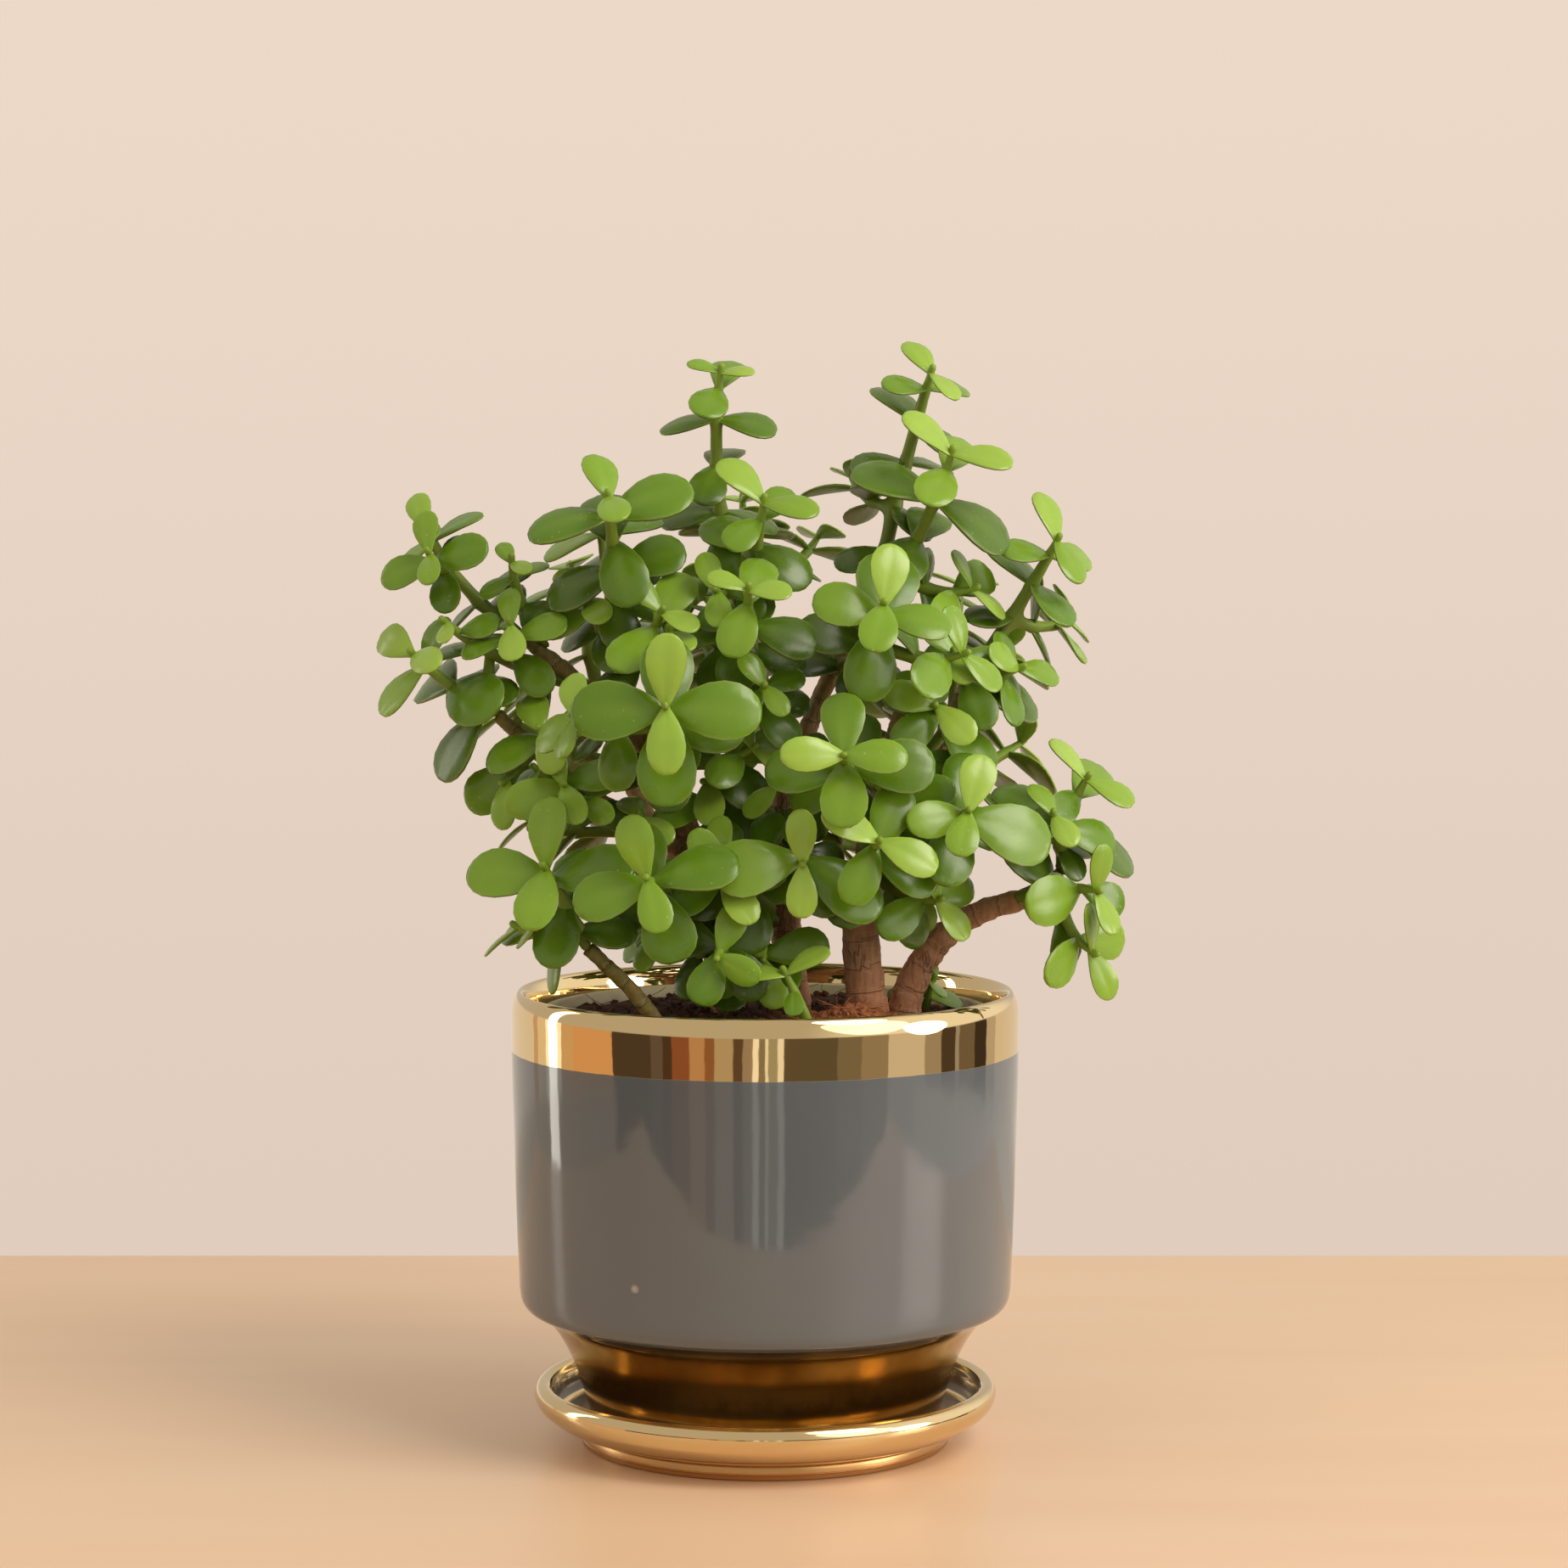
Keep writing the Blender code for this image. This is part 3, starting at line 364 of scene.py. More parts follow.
def scattered(master, matrices):
    """Copies of a master piece, each with its own mesh, one at each matrix."""
    copies = []
    for matrix in matrices:
        copy = bpy.data.objects.new(master.name, master.data.copy())
        copy.data.transform(matrix)
        bpy.context.scene.collection.objects.link(copy)
        copies.append(copy)
    return copies


def carry(piece, name, values):
    """Gives the points of a piece's mesh their values of something that its material reads."""
    piece.data.attributes.new(name, "FLOAT", "POINT").data.foreach_set("value", values)


def discard(piece):
    mesh = piece.data
    bpy.data.objects.remove(piece, do_unlink=True)
    bpy.data.meshes.remove(mesh)


edge_r = nursery_radius(SOIL_Z - 1) - 0.3
ball = [(0.4, SOIL_Z + 2.0)] + [(r, SOIL_Z + 2.0 - 1.6 * (r / 50) ** 2) for r in range(2, 52, 2)]
ball += [(52.6, SOIL_Z + 0.1), (edge_r - 0.4, SOIL_Z - 0.2), (edge_r, SOIL_Z - 1)]
ball += [(nursery_radius(z) - 0.4, z) for z in (90, 60, bottom + 1.8)]
ball += [(nursery_radius(bottom) - 2.3, bottom + 0.3), (20, bottom + 0.3), (0.4, bottom + 0.3)]
earth = thrown("coir_soil", ball)
top = earth.vertex_groups.new(name="top")
for v in earth.data.vertices:
    if v.co.z > (SOIL_Z - 0.5) * MM and v.co.xy.length < 53 * MM:
        top.add([v.index], 1.0, "REPLACE")
for size, height in ((9 * MM, 4.0 * MM), (2.2 * MM, 2.6 * MM)):
    applied(earth, "DISPLACE", texture=clouds("crumbling", size), strength=height, mid_level=0.5,
            vertex_group="top", direction="Z")
heap = earth.vertex_groups.new(name="heap")
for v in earth.data.vertices:
    away = math.dist(v.co.xy / MM, RED_HEAP) / HEAP_SPREAD
    if v.co.z > (SOIL_Z - 3) * MM:
        heap.add([v.index], math.exp(-away * away), "REPLACE")
applied(earth, "DISPLACE", strength=HEAP_RISE * MM, mid_level=0.0, vertex_group="heap", direction="Z")

bpy.ops.object.select_all(action="DESELECT")
bpy.ops.mesh.primitive_ico_sphere_add(subdivisions=1, radius=1.0)
crumb = named("crumb")
bpy.ops.object.select_all(action="DESELECT")
bpy.ops.mesh.primitive_circle_add(vertices=3, radius=0.1)
fibre = named("fibre")
bpy.ops.object.mode_set(mode="EDIT")
bpy.ops.mesh.edge_face_add()
for lean in (0.5, 0.25, -0.1, -0.45, -0.7):
    bpy.ops.mesh.extrude_region_move(TRANSFORM_OT_translate={"value": (lean, 0.1 * lean, 1.0)})
bpy.ops.transform.resize(value=(0.3, 0.3, 0.3))
bpy.ops.object.mode_set(mode="OBJECT")
solid(fibre)


def on_soil(outer_r):
    """A random place on the soil's top: anywhere within a radius in mm, or on the red heap."""
    if dice.random() < 0.4:
        x, y = dice.gauss(RED_HEAP[0], 9), dice.gauss(RED_HEAP[1], 7)
    else:
        turn, reach = dice.uniform(0, math.tau), outer_r * math.sqrt(dice.random())
        x, y = reach * math.cos(turn), reach * math.sin(turn)
    inwards = min(outer_r / math.hypot(x, y), 1.0) * MM
    return earth.ray_cast(Vector((x * inwards, y * inwards, 0.2)), Vector((0, 0, -1)))[1]


def turned_any_way():
    """A rotation by three random angles, about Z, X and Z."""
    first, tilt, last = [dice.uniform(0, math.tau) for _ in range(3)]
    return Matrix.Rotation(first, 4, "Z") @ Matrix.Rotation(tilt, 4, "X") @ Matrix.Rotation(last, 4, "Z")


CRUMBS, FIBRES = 900, 260
crumb_places, fibre_places = [], []
for _ in range(CRUMBS):
    size = dice.choice((0.5, 0.6, 0.7, 0.9, 1.1, 1.4)) * MM
    shape = Matrix.Diagonal([size * dice.uniform(0.6, 1.5) for _ in range(3)]).to_4x4()
    crumb_places.append(Matrix.Translation(on_soil(52.5)) @ turned_any_way() @ shape)
for _ in range(FIBRES):
    heading, lean = dice.uniform(0, math.tau), dice.gauss(1.45, 0.25)
    lie = Matrix.Rotation(heading, 4, "Z") @ Matrix.Rotation(lean, 4, "X")
    shape = Matrix.Diagonal([MM * 0.9, MM * 0.9, MM * dice.uniform(0.8, 1.9)]).to_4x4()
    fibre_places.append(Matrix.Translation(on_soil(50) + Vector((0, 0, 0.4 * MM))) @ lie @ shape)
litter = scattered(crumb, crumb_places) + scattered(fibre, fibre_places)
for piece in litter:
    carry(piece, "loose", [dice.uniform(0.2, 1.0)] * len(piece.data.vertices))
choose(earth, *litter)
bpy.ops.object.join()
discard(crumb)
discard(fibre)

coir = Finish("coir", IOR=1.35)
damp = coir.noise(90, 4)
loose = coir.carried("loose")
x, y = coir.axis(coir.place, "X"), coir.axis(coir.place, "Y")
away = ((x - RED_HEAP[0] * MM) ** 2.0 + (y - RED_HEAP[1] * MM) ** 2.0) ** 0.5
red = coir.step(away + damp * 16 * MM, 42 * MM, 20 * MM)
dark = coir.mix(damp, ink(46, 28, 20), ink(78, 50, 34))
light = coir.mix(damp, ink(136, 80, 50), ink(176, 112, 72))
lightness = coir.step(loose * 0.5 + red * 0.75, 0.2, 1.0)
coir.feed(Base_Color=coir.mix(lightness, dark, light), Roughness=0.92)
coir.bump(coir.noise(900, 3) + coir.noise(320, 2), 0.5 * MM)
earth.data.materials.append(coir.material)
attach(earth, "root")
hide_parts("soil")

# --------------------------------------------------------------------------------------- woody stems
# Three trunks and two low stems rise from the soil and fork. Their bark is red-brown, ringed by the
# scars of fallen leaf pairs, cracked near the soil, and still olive on the thin ends.
STEMS = {
    "trunk_right": [(26, -8, 99, 6.0), (26, -8, 112, 5.4), (24, -10, 134, 4.7), (26, -11, 150, 3.8),
                    (29, -10, 163, 3.3), (32, -8, 177, 2.8), (35, -5, 190, 2.2)],
    "trunk_centre": [(7, 10, 99, 5.2), (7, 10, 112, 4.6), (5, 9, 135, 4.1), (4, 8, 152, 3.8),
                     (5, 6, 166, 3.3), (3, 5, 180, 2.8), (-2, 4, 198, 2.2), (-5, 1, 214, 1.7)],
    "trunk_left": [(-9, 5, 99, 5.0), (-10, 5, 114, 4.5), (-14, 5, 135, 4.2), (-19, 4, 154, 3.7),
                   (-25, 4, 168, 3.2), (-31, 4, 181, 2.8), (-36, 3, 193, 2.4), (-40, 2, 208, 1.9)],
    "stem_right_low": [(35, -3, 99, 4.6), (36, -3, 114, 4.2), (41, -4, 125, 3.8), (48, -6, 133, 3.4),
                       (57, -8, 138, 3.0), (66, -10, 141, 2.5), (75, -11, 147, 2.0)],
    "stem_left_front": [(-25, -22, 99, 2.2), (-28, -24, 112, 2.0), (-36, -27, 122, 1.9),
                        (-44, -29, 130, 1.7)],
    "branch_right": [(25, -11, 142, 2.9), (33, -6, 152, 2.9), (40, -3, 166, 2.6), (46, -1, 181, 2.3),
                     (52, 0, 196, 1.9)],
    "branch_centre": [(5, 6, 168, 2.6), (10, 8, 180, 2.6), (16, 8, 195, 2.3), (23, 6, 209, 2.0),
                      (29, 4, 221, 1.7)],
    "branch_left": [(-27, 4, 173, 2.5), (-38, 2, 186, 2.5), (-50, 0, 197, 2.2), (-61, -1, 206, 1.8)],
    "branch_left_low": [(-18, 4, 150, 2.8), (-31, 0, 158, 2.8), (-46, -3, 167, 2.5), (-58, -4, 178, 2.2),
                        (-68, -5, 187, 1.8)],
    "branch_back_left": [(-13, 5, 130, 2.9), (-20, 17, 142, 2.9), (-30, 28, 157, 2.6), (-38, 36, 173, 2.2),
                         (-44, 42, 188, 1.8)],
    "branch_back": [(5, 9, 138, 2.8), (6, 21, 150, 2.8), (4, 32, 166, 2.5), (0, 41, 184, 2.1),
                    (-2, 46, 202, 1.7)],
    "branch_back_right": [(24, -10, 130, 2.9), (31, 4, 139, 2.9), (38, 17, 152, 2.6), (45, 27, 167, 2.2),
                          (50, 34, 183, 1.8)],
}
SCAR_EVERY = 6.5  # mm between the leaf scars
BARK_R = 3.0  # the radius in mm from which a stem is all bark


def ringed(rows):
    """A stem's smooth centreline, as (x, y, z, radius, run) rows in mm, with a ridge at each scar."""
    line, run, last = [], 0.0, None
    for x, y, z, radius in eased(rows, 12):
        here = Vector((x, y, z))
        run += (here - last).length if last else 0.0
        last = here
        off = (run + 1.5 * noise(here * 0.05)) % SCAR_EVERY - SCAR_EVERY / 2
        ridge = 0.09 * math.exp(-((off / 0.7) ** 2)) - 0.05 * math.exp(-(((off - 1.3) / 0.7) ** 2))
        if rows[0][2] < SOIL_Z:
            flare = 0.16 * math.exp(-max(z - SOIL_Z, 0.0) / 4.0)
        else:
            flare = 0.22 * math.exp(-run / 3.0)
        line.append((x, y, z, radius * (1.0 + ridge + flare + 0.06 * noise(here * 0.12)), run))
    return line


def finder(places):
    """A search tree: its find gives the nearest place, that place's number and how far away it is."""
    tree = KDTree(len(places))
    for number, place in enumerate(places):
        tree.insert(place, number)
    tree.balance()
    return tree


def grown(name, rows):
    """A tube along a stem's centreline, roughened, that carries its run and how young its bark is."""
    line = ringed(rows)
    curve = bpy.data.curves.new(name, "CURVE")
    curve.dimensions, curve.bevel_depth, curve.bevel_resolution, curve.use_fill_caps = "3D", MM, 4, True
    path = curve.splines.new("POLY")
    path.points.add(len(line) - 1)
    for point, (x, y, z, radius, _) in zip(path.points, line):
        point.co, point.radius = (x * MM, y * MM, z * MM, 1.0), radius
    piece = bpy.data.objects.new(name, curve)
    bpy.context.scene.collection.objects.link(piece)
    choose(piece)
    bpy.ops.object.convert(target="MESH")
    solid(piece)
    applied(piece, "SUBSURF", levels=1, render_levels=1)
    applied(piece, "DISPLACE", texture=clouds("bark_lumps", 3.2 * MM), strength=1.0 * MM, mid_level=0.5)
    applied(piece, "DISPLACE", texture=clouds("bark_grain", 0.9 * MM), strength=0.35 * MM, mid_level=0.5)
    near = finder([Vector((x, y, z)) * MM for x, y, z, _, _ in line])
    spots = [line[near.find(v.co)[1]] for v in piece.data.vertices]
    carry(piece, "run", [run for _, _, _, _, run in spots])
    carry(piece, "young", [min(max((BARK_R - radius) / 1.2, 0.0), 1.0) for _, _, _, radius, _ in spots])
    choose(piece)
    bpy.ops.object.shade_smooth()
    return piece


bark = Finish("bark", IOR=1.4)
run, young = bark.carried("run"), bark.carried("young")
drawn = bark.stretched(1, 1, 0.22)
grain, patches = bark.noise(900, 4, drawn), bark.noise(130, 3)
scar = bark.maths("FRACT", run * (1 / SCAR_EVERY) + patches * 0.3)
line_dark = bark.step(scar, 0.045, 0.0) + bark.step(scar, 0.955, 1.0)
line_pale = bark.step(scar, 0.05, 0.1) * bark.step(scar, 0.2, 0.12)
crack = bark.step(bark.maths("ABSOLUTE", bark.noise(330, 3, drawn) - 0.5), 0.03, 0.0)
crack = crack * (1 - young) * bark.step(patches, 0.4, 0.6)
flakes = bark.step(bark.noise(700, 4, bark.stretched(0.35, 0.35, 2.2)), 0.6, 0.72)
wood = bark.mix(grain, ink(138, 98, 68), ink(210, 164, 128))
low_down = bark.step(bark.axis(bark.place, "Z"), 132 * MM, 112 * MM)
wood = bark.mix(low_down * 0.7, wood, bark.mix(grain, ink(160, 98, 64), ink(226, 160, 116)))
wood = bark.mix(bark.step(patches, 0.5, 0.68) * 0.5, wood, ink(176, 146, 118))
wood = bark.mix(flakes * (0.25 + low_down * 0.4), wood, ink(222, 188, 160))
green = bark.mix(grain, ink(92, 96, 34), ink(122, 132, 50))
skin = bark.mix(young * 0.85, wood, green)
skin = bark.mix(line_pale * 0.22, skin, ink(204, 174, 146))
skin = bark.mix(line_dark * 0.35 + crack * 0.5, skin, ink(84, 54, 38))
bark.feed(Base_Color=skin, Roughness=0.62 + grain * 0.2 - young * 0.15)
bark.bump(grain * 0.6 - crack * 0.8 - line_dark * 0.5 + line_pale * 0.3, 0.35 * MM)
for name, rows in STEMS.items():
    stem = grown("woody_" + name, rows)
    stem.data.materials.append(bark.material)
    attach(stem, "root")
    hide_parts(name)

# -------------------------------------------------------------------------------------- leafy shoots
# Each shoot is a green twig with its pairs of leaves, every pair turned a quarter round from the last.
# The leaves are fleshy and glossy: bright and upright at the tip, then broad, dark and spreading.
SHOOT_STARTS = ("shoot", "leader", "back", "sprout")
TIP_THICKNESS, TIP_SLACK = 1.08 * MM, 0.04 * MM
FIN = 4 * MM  # the least length of the edges of a face that a cut leaf leaves behind
REACH_SHARE = 0.4044  # of a leaf's length, from the middle of its belly to its tip
HALF_CURL, CURL_TO_BELLY = math.radians(11), math.radians(17.54)
GROWN_AT = 45 * MM  # how far from a shoot's tip its leaves are fully grown
YOUNGEST, WIDEST = 0.57, 0.67  # width over length of the youngest and of the grown leaves
TIP_BELOW = (YOUNGEST + WIDEST) / 2 - 0.02  # a leaf narrower than this sits at a growing tip
MASTER_WIDTH = 0.69  # width over length of a modelled leaf
Leaf = namedtuple("Leaf", "start side way up length width")
dice = random.Random(5)


def leaf_at(cap):
    """The leaf that ends in this small face, and the corners that it leaves behind."""
    corners, partner = list(cap.verts), {}
    for corner in corners:
        beyond = [e.other_vert(corner) for e in corner.link_edges if e.other_vert(corner) not in corners]
        partner[corner] = min(beyond, key=lambda v: (v.co - corner.co).length)
    first = (corners[0].co - corners[1].co).length < (corners[1].co - corners[2].co).length
    a, b, c, d = corners if first else corners[1:] + corners[:1]
    thin_tip = (b.co - a.co) + (c.co - d.co)
    thin_belly = (partner[b].co - partner[a].co) + (partner[c].co - partner[d].co)
    side = thin_belly.cross(thin_tip).normalized()
    tip = sum((v.co for v in corners), Vector()) / 4
    belly = sum((v.co for v in partner.values()), Vector()) / 4
    length = (tip - belly).length / REACH_SHARE
    way = Matrix.Rotation(-CURL_TO_BELLY, 3, side) @ (tip - belly).normalized()
    start = tip - Matrix.Rotation(HALF_CURL, 3, side) @ way * length
    width = ((partner[a].co + partner[b].co) - (partner[c].co + partner[d].co)).length / 2
    return Leaf(start, side, way, way.cross(side), length, width), [*corners, *partner.values()]


def bare_twig(node, name):
    """A copy of a shoot's solid with its leaves cut off, and where they stood."""
    twig = bpy.data.objects.new(name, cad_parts[node].data.copy())
    twig.data.materials.clear()
    bpy.context.scene.collection.objects.link(twig)
    choose(twig)
    bpy.ops.object.mode_set(mode="EDIT")
    bpy.ops.mesh.select_all(action="SELECT")
    bpy.ops.mesh.remove_doubles(threshold=1e-6)
    bpy.ops.mesh.dissolve_limited(angle_limit=0.002)
    bpy.ops.mesh.select_all(action="DESELECT")
    cage = bmesh.from_edit_mesh(twig.data)
    leaves = []
    for face in cage.faces:
        sides = sorted(e.calc_length() for e in face.edges)
        if len(sides) == 4 and abs(sides[1] - TIP_THICKNESS) < TIP_SLACK > sides[3] - sides[2]:
            leaf, corners = leaf_at(face)
            leaves.append(leaf)
            for corner in corners:
                corner.select = True
    cage.select_flush(True)
    bmesh.update_edit_mesh(twig.data)
    bpy.ops.mesh.delete(type="VERT")
    cage = bmesh.from_edit_mesh(twig.data)
    for corner in cage.verts:  # a leaf corner that is still joined on by one thin face
        lengths = [e.calc_length() for e in corner.link_edges]
        corner.select = len(lengths) == 2 and min(lengths) > FIN
    cage.select_flush(True)
    bmesh.update_edit_mesh(twig.data)
    bpy.ops.mesh.delete(type="VERT")
    bpy.ops.mesh.select_all(action="SELECT")
    bpy.ops.mesh.fill_holes(sides=0)
    bpy.ops.mesh.tris_convert_to_quads()
    bpy.ops.mesh.normals_make_consistent(inside=False)
    bpy.ops.object.mode_set(mode="OBJECT")
    return twig, leaves


def plump_leaf(name, widest, taper, cup, bend):
    """A leaf of unit length along +Y, its upper face towards +Z: an eight-sided ring widens and closes."""
    half_width, half_thick, half_side = MASTER_WIDTH / 2, 0.05, math.radians(22.5)
    bpy.ops.object.select_all(action="DESELECT")
    turn = (math.radians(90), half_side, 0)
    bpy.ops.mesh.primitive_circle_add(vertices=8, radius=1.0 / math.cos(half_side), rotation=turn)
    leaf = named(name)
    bpy.ops.object.transform_apply(location=True, rotation=True, scale=True)
    stations = (0.0, 0.1, 0.25, 0.43, 0.6, 0.75, 0.87, 0.95, 0.99)
    last_wide, last_thick, last_s = 1, 1, 0.0
    bpy.ops.object.mode_set(mode="EDIT")
    for s in stations:
        if s < widest:
            wide = 0.16 + 0.84 * math.sin(math.pi / 2 * s / widest) ** taper
        else:
            wide = math.sqrt(1 - ((s - widest) / (1 - widest)) ** 2)
        thick = 0.5 + 0.5 * math.sin(math.pi * min(s / 0.9, 0.5))
        thick *= math.sqrt(max(1 - (s / 1.04) ** 6, 0.06))
        wide, thick = half_width * wide, half_thick * thick
        if s > 0:
            bpy.ops.mesh.extrude_edges_move(TRANSFORM_OT_translate={"value": (0, s - last_s, 0)})
        growth = (wide / last_wide, 1, thick / last_thick)
        bpy.ops.transform.resize(value=growth, center_override=(0, s, 0))
        last_wide, last_thick, last_s = wide, thick, s
    bpy.ops.mesh.select_all(action="SELECT")
    bpy.ops.mesh.fill_holes(sides=0)
    bpy.ops.mesh.normals_make_consistent(inside=False)
    bpy.ops.object.mode_set(mode="OBJECT")
    points = leaf.data.vertices
    edge = {round(s, 4): max(abs(v.co.x) for v in points if abs(v.co.y - s) < 1e-4) for s in stations}
    across = [v.co.x / edge[round(v.co.y, 4)] for v in points]
    carry(leaf, "along", [v.co.y for v in points])
    carry(leaf, "across", across)
    carry(leaf, "upper", [0.5 + 0.5 * (v.co.z > 1e-5) - 0.5 * (v.co.z < -1e-5) for v in points])
    for v, share in zip(points, across):
        v.co.z += cup * half_width * math.sin(math.pi * min(v.co.y, 1.0)) * share**2
        turn, rise = bend * v.co.y, v.co.z
        v.co.y = math.sin(turn) / bend + rise * math.sin(turn)
        v.co.z = (math.cos(turn) - 1) / bend + rise * math.cos(turn)
    choose(leaf)
    bpy.ops.object.shade_smooth()
    applied(leaf, "WEIGHTED_NORMAL")
    return leaf


cupped = plump_leaf("leaf_cupped", 0.64, 1.1, 0.12, math.radians(16))
flat = plump_leaf("leaf_flat", 0.62, 1.0, 0.03, math.radians(24))
domed = plump_leaf("leaf_domed", 0.60, 0.9, -0.08, math.radians(30))
narrow = plump_leaf("leaf_narrow", 0.68, 1.25, 0.06, math.radians(20))


def placed(leaf):
    """The matrix that takes a master leaf to a leaf's place, a little out of true."""
    roll = Matrix.Rotation(math.radians(dice.gauss(0, 7)), 3, leaf.way)
    nod = Matrix.Rotation(math.radians(dice.gauss(0, 5)), 3, leaf.side)
    broad = leaf.width / leaf.length / MASTER_WIDTH * dice.uniform(0.92, 1.08)
    size = leaf.length * dice.uniform(0.97, 1.05)
    turned = nod @ roll @ Matrix((-leaf.side * broad, leaf.way, leaf.up)).transposed()
    sunk = leaf.way * 0.9 * MM  # so that the leaf's base is inside its twig
    return Matrix.Translation(leaf.start - sunk) @ (turned * size).to_4x4()


def smooth_twig(twig, starts, tips):
    """Rounds a bare twig, swells its joints, and carries how far each point is from a growing tip."""
    applied(twig, "SUBSURF", levels=2, render_levels=2)
    joints, ends = finder(starts), finder(tips)
    knots, wood = twig.vertex_groups.new(name="knots"), twig.vertex_groups.new(name="wood")
    ripe = []
    for v in twig.data.vertices:
        away = ends.find(v.co)[2]
        grown_here = min(away / (9 * MM), 1.0)
        knots.add([v.index], grown_here * max(1 - joints.find(v.co)[2] / (2.6 * MM), 0.0), "REPLACE")
        wood.add([v.index], grown_here, "REPLACE")
        ripe.append(min(away / GROWN_AT, 1.0))
    carry(twig, "ripe", ripe)
    applied(twig, "DISPLACE", strength=0.55 * MM, mid_level=0.0, vertex_group="wood")
    applied(twig, "DISPLACE", strength=0.45 * MM, mid_level=0.0, vertex_group="knots")
    twig.vertex_groups.clear()
    bpy.ops.object.shade_smooth()


flesh = Finish("leaf_flesh", IOR=1.5, Subsurface_Weight=0.12, Subsurface_Scale=1.5 * MM,
               Subsurface_Radius=(0.6, 1.0, 0.2))
ripe, tone = flesh.carried("ripe"), flesh.carried("tone")
along, upper = flesh.carried("along"), flesh.carried("upper")
across = flesh.maths("ABSOLUTE", flesh.carried("across"))
mottle = flesh.noise(160, 3)
face = flesh.ramp(ripe * 0.85 + tone * 0.24 - 0.05, (0.0, ink(156, 190, 70)), (0.14, ink(126, 164, 40)),
                  (0.32, ink(92, 130, 16)), (0.6, ink(70, 99, 8)), (1.0, ink(52, 74, 6)))
back = flesh.ramp(ripe, (0.0, ink(132, 160, 58)), (0.3, ink(102, 116, 40)), (1.0, ink(76, 84, 34)))
green = flesh.mix(flesh.step(upper, 0.45, 0.2), face, back)
green = flesh.mix(mottle * 0.3, green, ink(82, 112, 30))
green = flesh.mix((1 - along) * flesh.step(across, 0.5, 0.0) * 0.2, green, ink(150, 180, 80))
specks = flesh.node("TexVoronoi", None, {"Vector": flesh.place, "Scale": 420})
speckled = flesh.step(specks, 0.13, 0.06) * flesh.step(tone, 0.6, 0.9)
green = flesh.mix(speckled * 0.3, green, ink(206, 216, 170))
green = flesh.mix(flesh.step(across, 0.9, 1.0) * 0.35, green, ink(140, 152, 78))
flesh.feed(Base_Color=green, Roughness=0.16 + mottle * 0.16 + ripe * 0.05)
flesh.bump(flesh.noise(500, 2) * 0.4 + flesh.step(across, 0.0, 0.35) * 0.5, 0.07 * MM)

stalk = Finish("green_stalk", IOR=1.42)
ripe = stalk.carried("ripe")
fibres = stalk.noise(700, 3)
green = stalk.ramp(ripe, (0.0, ink(132, 164, 52)), (0.4, ink(112, 136, 36)), (0.8, ink(100, 116, 32)),
                   (1.0, ink(100, 98, 42)))
stalk.feed(Base_Color=stalk.mix(fibres * 0.4, green, ink(84, 96, 30)), Roughness=0.4 + fibres * 0.15)
stalk.bump(fibres, 0.12 * MM)

for node in sorted(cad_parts):
    if not node.startswith(SHOOT_STARTS):
        continue
    twig, leaves = bare_twig(node, "leafy_" + node)
    tips = [leaf.start for leaf in leaves if leaf.width / leaf.length < TIP_BELOW]
    tips = tips or [leaves[0].start]
    smooth_twig(twig, [leaf.start for leaf in leaves], tips)
    twig.data.materials.append(stalk.material)
    blades = []
    for leaf in leaves:
        age = min(max((leaf.width / leaf.length - YOUNGEST) / (WIDEST - YOUNGEST), 0.0), 1.0)
        grown_up = min(min((leaf.start - tip).length for tip in tips) / GROWN_AT, 1.0)
        kinds = (cupped, cupped, narrow, flat) if age < 0.8 else (cupped, flat, flat, domed, narrow)
        blade = scattered(dice.choice(kinds), [placed(leaf)])[0]
        points = len(blade.data.vertices)
        carry(blade, "ripe", [0.2 * age + 0.8 * grown_up] * points)
        carry(blade, "tone", [dice.random()] * points)
        blade.data.materials.append(flesh.material)
        blades.append(blade)
    choose(twig, *blades)
    bpy.ops.object.join()
    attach(twig, "root")
    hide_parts(node)
for master in (cupped, flat, domed, narrow):
    discard(master)

# --------------------------------------------------------------------------------------- stone chip
# One pale chip of gravel that lies on the soil beside the right trunk.
low, top_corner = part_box("stone_chip")
bpy.ops.object.select_all(action="DESELECT")
bpy.ops.mesh.primitive_ico_sphere_add(subdivisions=3, radius=0.5)
chip = named("chip_of_gravel")
stretch = Matrix.Diagonal(top_corner - low).to_4x4()
chip.data.transform(Matrix.Translation((low + top_corner) / 2) @ stretch)
applied(chip, "DISPLACE", texture=clouds("chipping", 5 * MM, 3), strength=2.2 * MM, mid_level=0.5)
bpy.ops.object.shade_smooth()

gravel = Finish("pale_gravel", IOR=1.5)
veins = gravel.noise(260, 5)
gravel.feed(Base_Color=gravel.mix(gravel.step(veins, 0.4, 0.65), ink(206, 200, 186), ink(168, 160, 146)),
            Roughness=0.7)
gravel.bump(veins, 0.3 * MM)
chip.data.materials.append(gravel.material)
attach(chip, "root")
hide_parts("stone_chip")

# --------------------------------------------------------------------------------------------- room
# A plain pale board, and a studio round it: cream walls, soft panels of light to the right, a tall
# strip of light to the left, and a dim room behind the camera, which the gold and the glaze reflect.
BACK_EDGE, FRONT_EDGE, HALF_BOARD, BOARD_THICK = 0.257, -0.31, 0.42, 0.024
bpy.ops.object.select_all(action="DESELECT")
middle = (0, (BACK_EDGE + FRONT_EDGE) / 2, -BOARD_THICK / 2)
bpy.ops.mesh.primitive_cube_add(size=1.0, location=middle)
board = named("pale_board")
board.scale = (HALF_BOARD * 2, BACK_EDGE - FRONT_EDGE, BOARD_THICK)
bpy.ops.object.transform_apply(location=True, rotation=True, scale=True)
applied(board, "BEVEL", width=1.2 * MM, segments=3)
pale = Finish("pale_board", IOR=1.45)
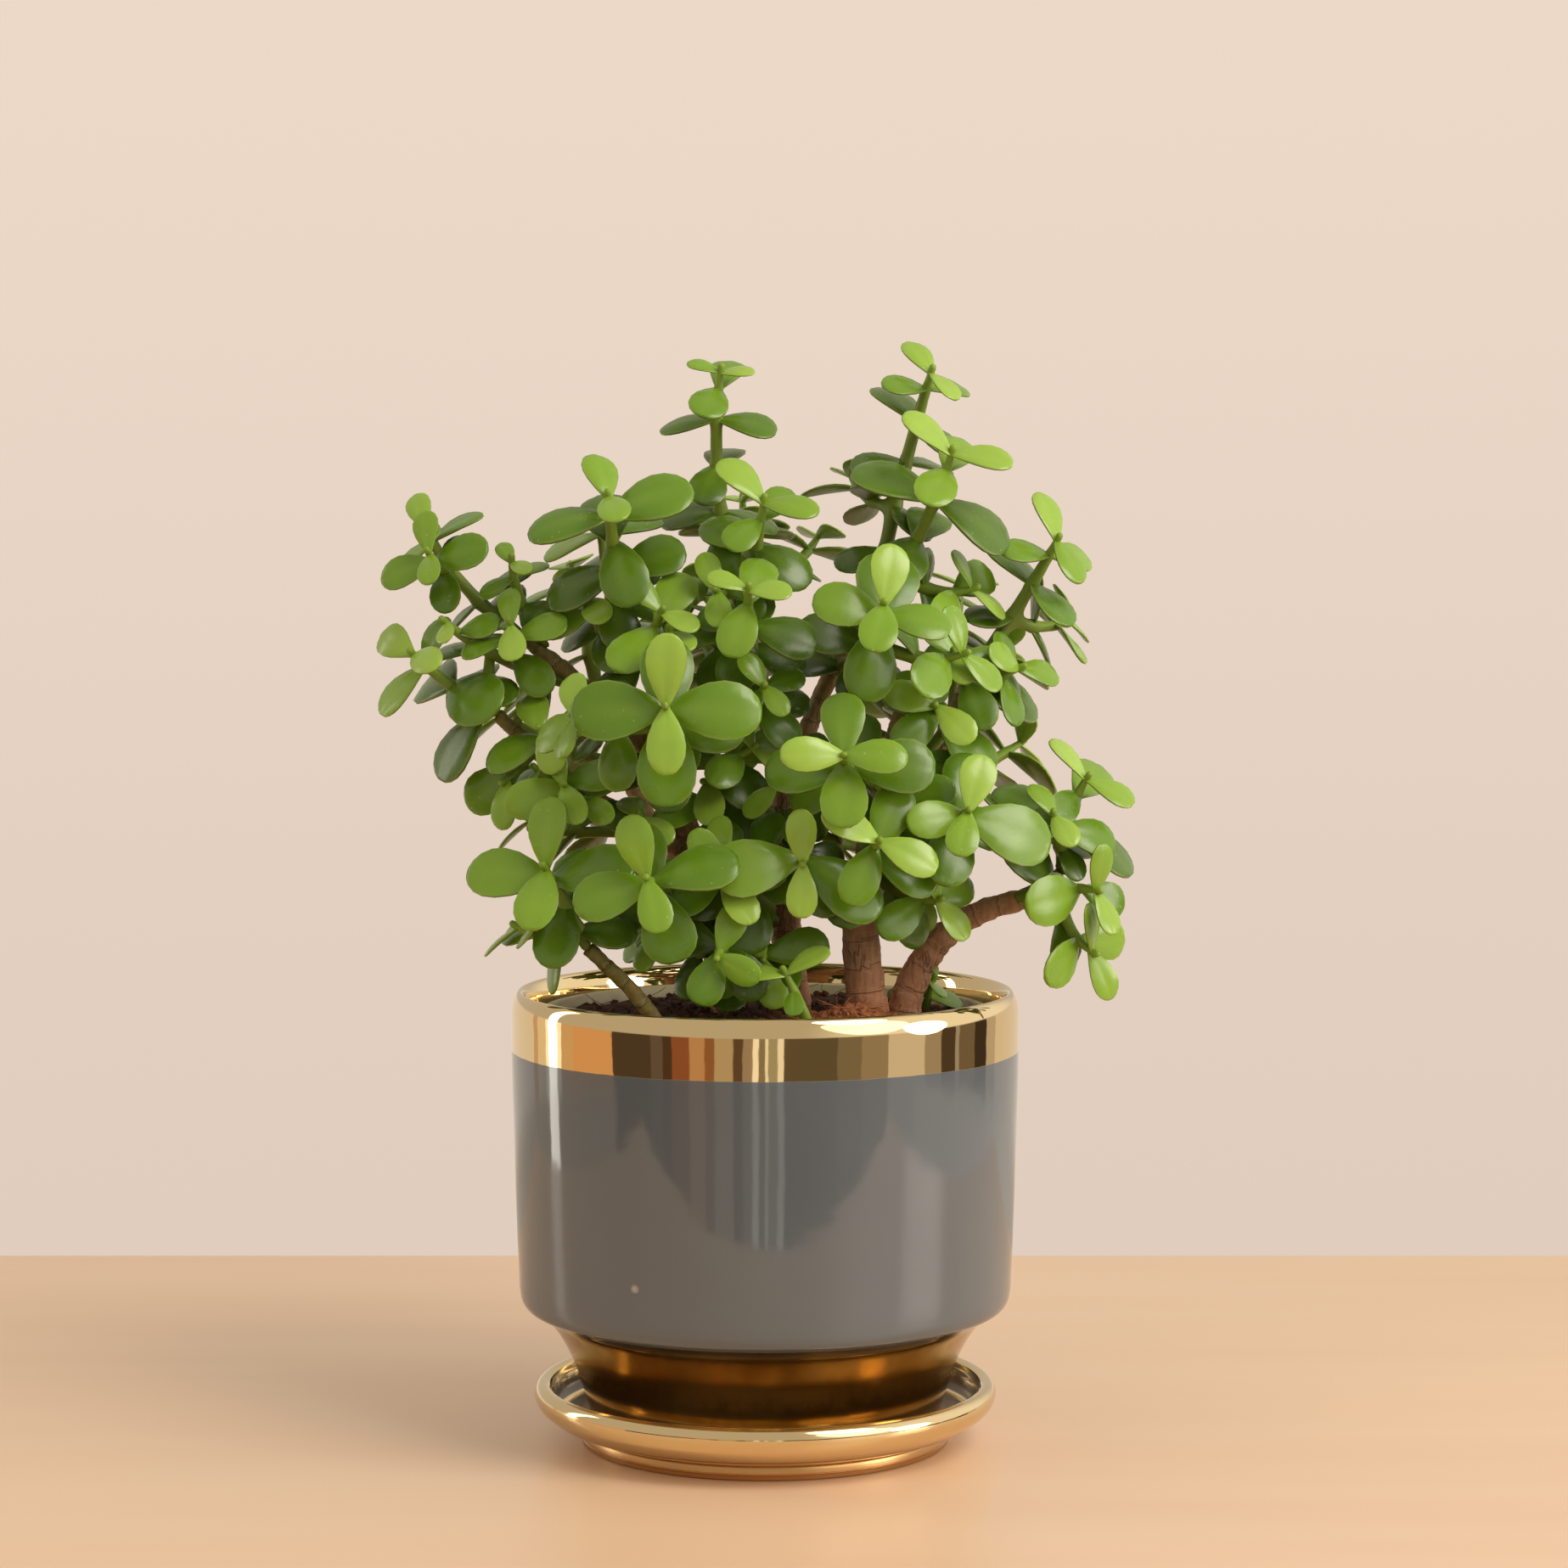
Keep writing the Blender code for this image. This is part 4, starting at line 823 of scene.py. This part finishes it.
grain = pale.noise(9, 3, pale.stretched(0.25, 3, 1))
pale.feed(Base_Color=pale.mix(grain, ink(230, 199, 168), ink(222, 186, 152)), Roughness=0.35)
board.data.materials.append(pale.material)


PLANT_MIDDLE = Vector((0, 0, 0.14))


def lamp(name, place, size, power, colour, shape="DISK", tall=1.0, mirrored=True):
    """A soft panel of light, aimed at the plant, that the camera doesn't see."""
    light = bpy.data.lights.new(name, "AREA")
    light.shape, light.size, light.size_y = shape, size, size * tall
    light.energy, light.color = power, colour[:3]
    holder = bpy.data.objects.new(name, light)
    holder.location = place
    holder.rotation_euler = (PLANT_MIDDLE - Vector(place)).to_track_quat("-Z", "Y").to_euler()
    holder.visible_camera = False
    holder.visible_glossy = mirrored
    bpy.context.scene.collection.objects.link(holder)


lamp("key_panel", (0.8, -0.7, 1.3), 0.8, 10.5, ink(255, 247, 236))
lamp("window_panel", (1.32, -1.19, 0.95), 1.4, 7.5, ink(255, 246, 234))
lamp("side_panel", (1.35, -0.35, 0.36), 0.6, 5.5, ink(255, 246, 236))
lamp("fill_panel", (-1.1, -0.9, 0.7), 0.8, 2.5, ink(255, 238, 218), mirrored=False)
lamp("strip_panel", (-1.05, 0.34, 0.3), 0.14, 1.6, ink(255, 248, 236), "RECTANGLE", 7.0)

world = bpy.data.worlds.new("studio")
world.use_nodes = True
bpy.context.scene.world = world
studio = Wiring(world.node_tree)
facing = studio.node("TexCoord", output="Generated")
x, y, z = (studio.axis(facing, letter) for letter in "XYZ")
round_about = studio.maths("ARCTAN2", x, y * -1.0) * (1 / math.tau) + 0.5

# Each part of the walls: the angle in degrees where it starts, counted from the camera's side and
# anticlockwise seen from below, and its red, green and blue.
WALLS = [
    (-180, 0.85, 0.73, 0.60), (-129, 0.69, 0.46, 0.28), (-125, 0.90, 0.72, 0.52), (-117, 1.4, 1.3, 1.1),
    (-105, 0.75, 0.48, 0.26), (-96, 0.80, 0.43, 0.20), (-73, 0.09, 0.06, 0.04), (-53, 0.15, 0.11, 0.09),
    (-47, 0.09, 0.05, 0.03), (-43, 0.31, 0.11, 0.05), (-35, 0.60, 0.33, 0.18), (-27, 0.33, 0.14, 0.06),
    (-23, 0.55, 0.42, 0.28), (-15, 0.14, 0.08, 0.05), (-10, 0.4, 0.3, 0.22), (-6, 1.2, 1.1, 1.0),
    (-3, 0.3, 0.24, 0.16), (-1, 1.1, 1.0, 0.9), (1, 0.45, 0.4, 0.28), (5, 1.1, 1.0, 0.9),
    (7.5, 0.14, 0.11, 0.07), (31, 0.24, 0.19, 0.13), (43, 0.36, 0.28, 0.2), (56, 0.75, 0.65, 0.55),
    (75, 0.42, 0.34, 0.26), (85, 0.09, 0.06, 0.04), (93, 0.40, 0.37, 0.32), (97, 0.2, 0.15, 0.1),
    (107, 0.06, 0.04, 0.03), (117, 0.6, 0.5, 0.4), (126, 0.83, 0.71, 0.57),
]
room = studio.ramp(round_about, *[(angle / 360 + 0.5, (*colour, 1.0)) for angle, *colour in WALLS])
room.socket.node.color_ramp.interpolation = "CONSTANT"
beside = studio.step(studio.maths("ABSOLUTE", round_about - 0.5), 0.19, 0.2)
rightward = studio.step(x, 0.25, 0.8)
low_wall = studio.mix(rightward, (0.6, 0.48, 0.36, 1.0), (0.95, 0.82, 0.66, 1.0))
room = studio.mix(beside * studio.step(z, -0.155, -0.175), room, low_wall)
high_wall = studio.mix(rightward, (0.6, 0.54, 0.46, 1.0), (1.1, 1.03, 0.92, 1.0))
ceiling = studio.mix(studio.step(z, 0.04, 0.08), room, high_wall)
lit = studio.mix(studio.step(z, -0.35, -0.6), ceiling, (0.4, 0.34, 0.27, 1.0))
cream = studio.mix(studio.step(z, -0.2, 0.15), ink(224, 205, 190), ink(236, 217, 200))
seen = studio.mix(studio.node("LightPath", output="Is Camera Ray"), lit, cream)
studio.join(world.node_tree.nodes["Background"].inputs["Color"], seen)

EYE_HEIGHT, EYE_TILT = 0.2331, 0.0639  # metres above the board, and radians below level
camera = bpy.data.cameras.new("camera")
camera.lens, camera.sensor_width, camera.shift_x = 90.1, 36.0, 0.01202
eye = bpy.data.objects.new("camera", camera)
eye.location = (0, -1.0, EYE_HEIGHT)
eye.rotation_euler = (math.pi / 2 - EYE_TILT, 0, 0)
bpy.context.scene.collection.objects.link(eye)
bpy.context.scene.camera = eye
bpy.context.scene.view_settings.view_transform = "Standard"
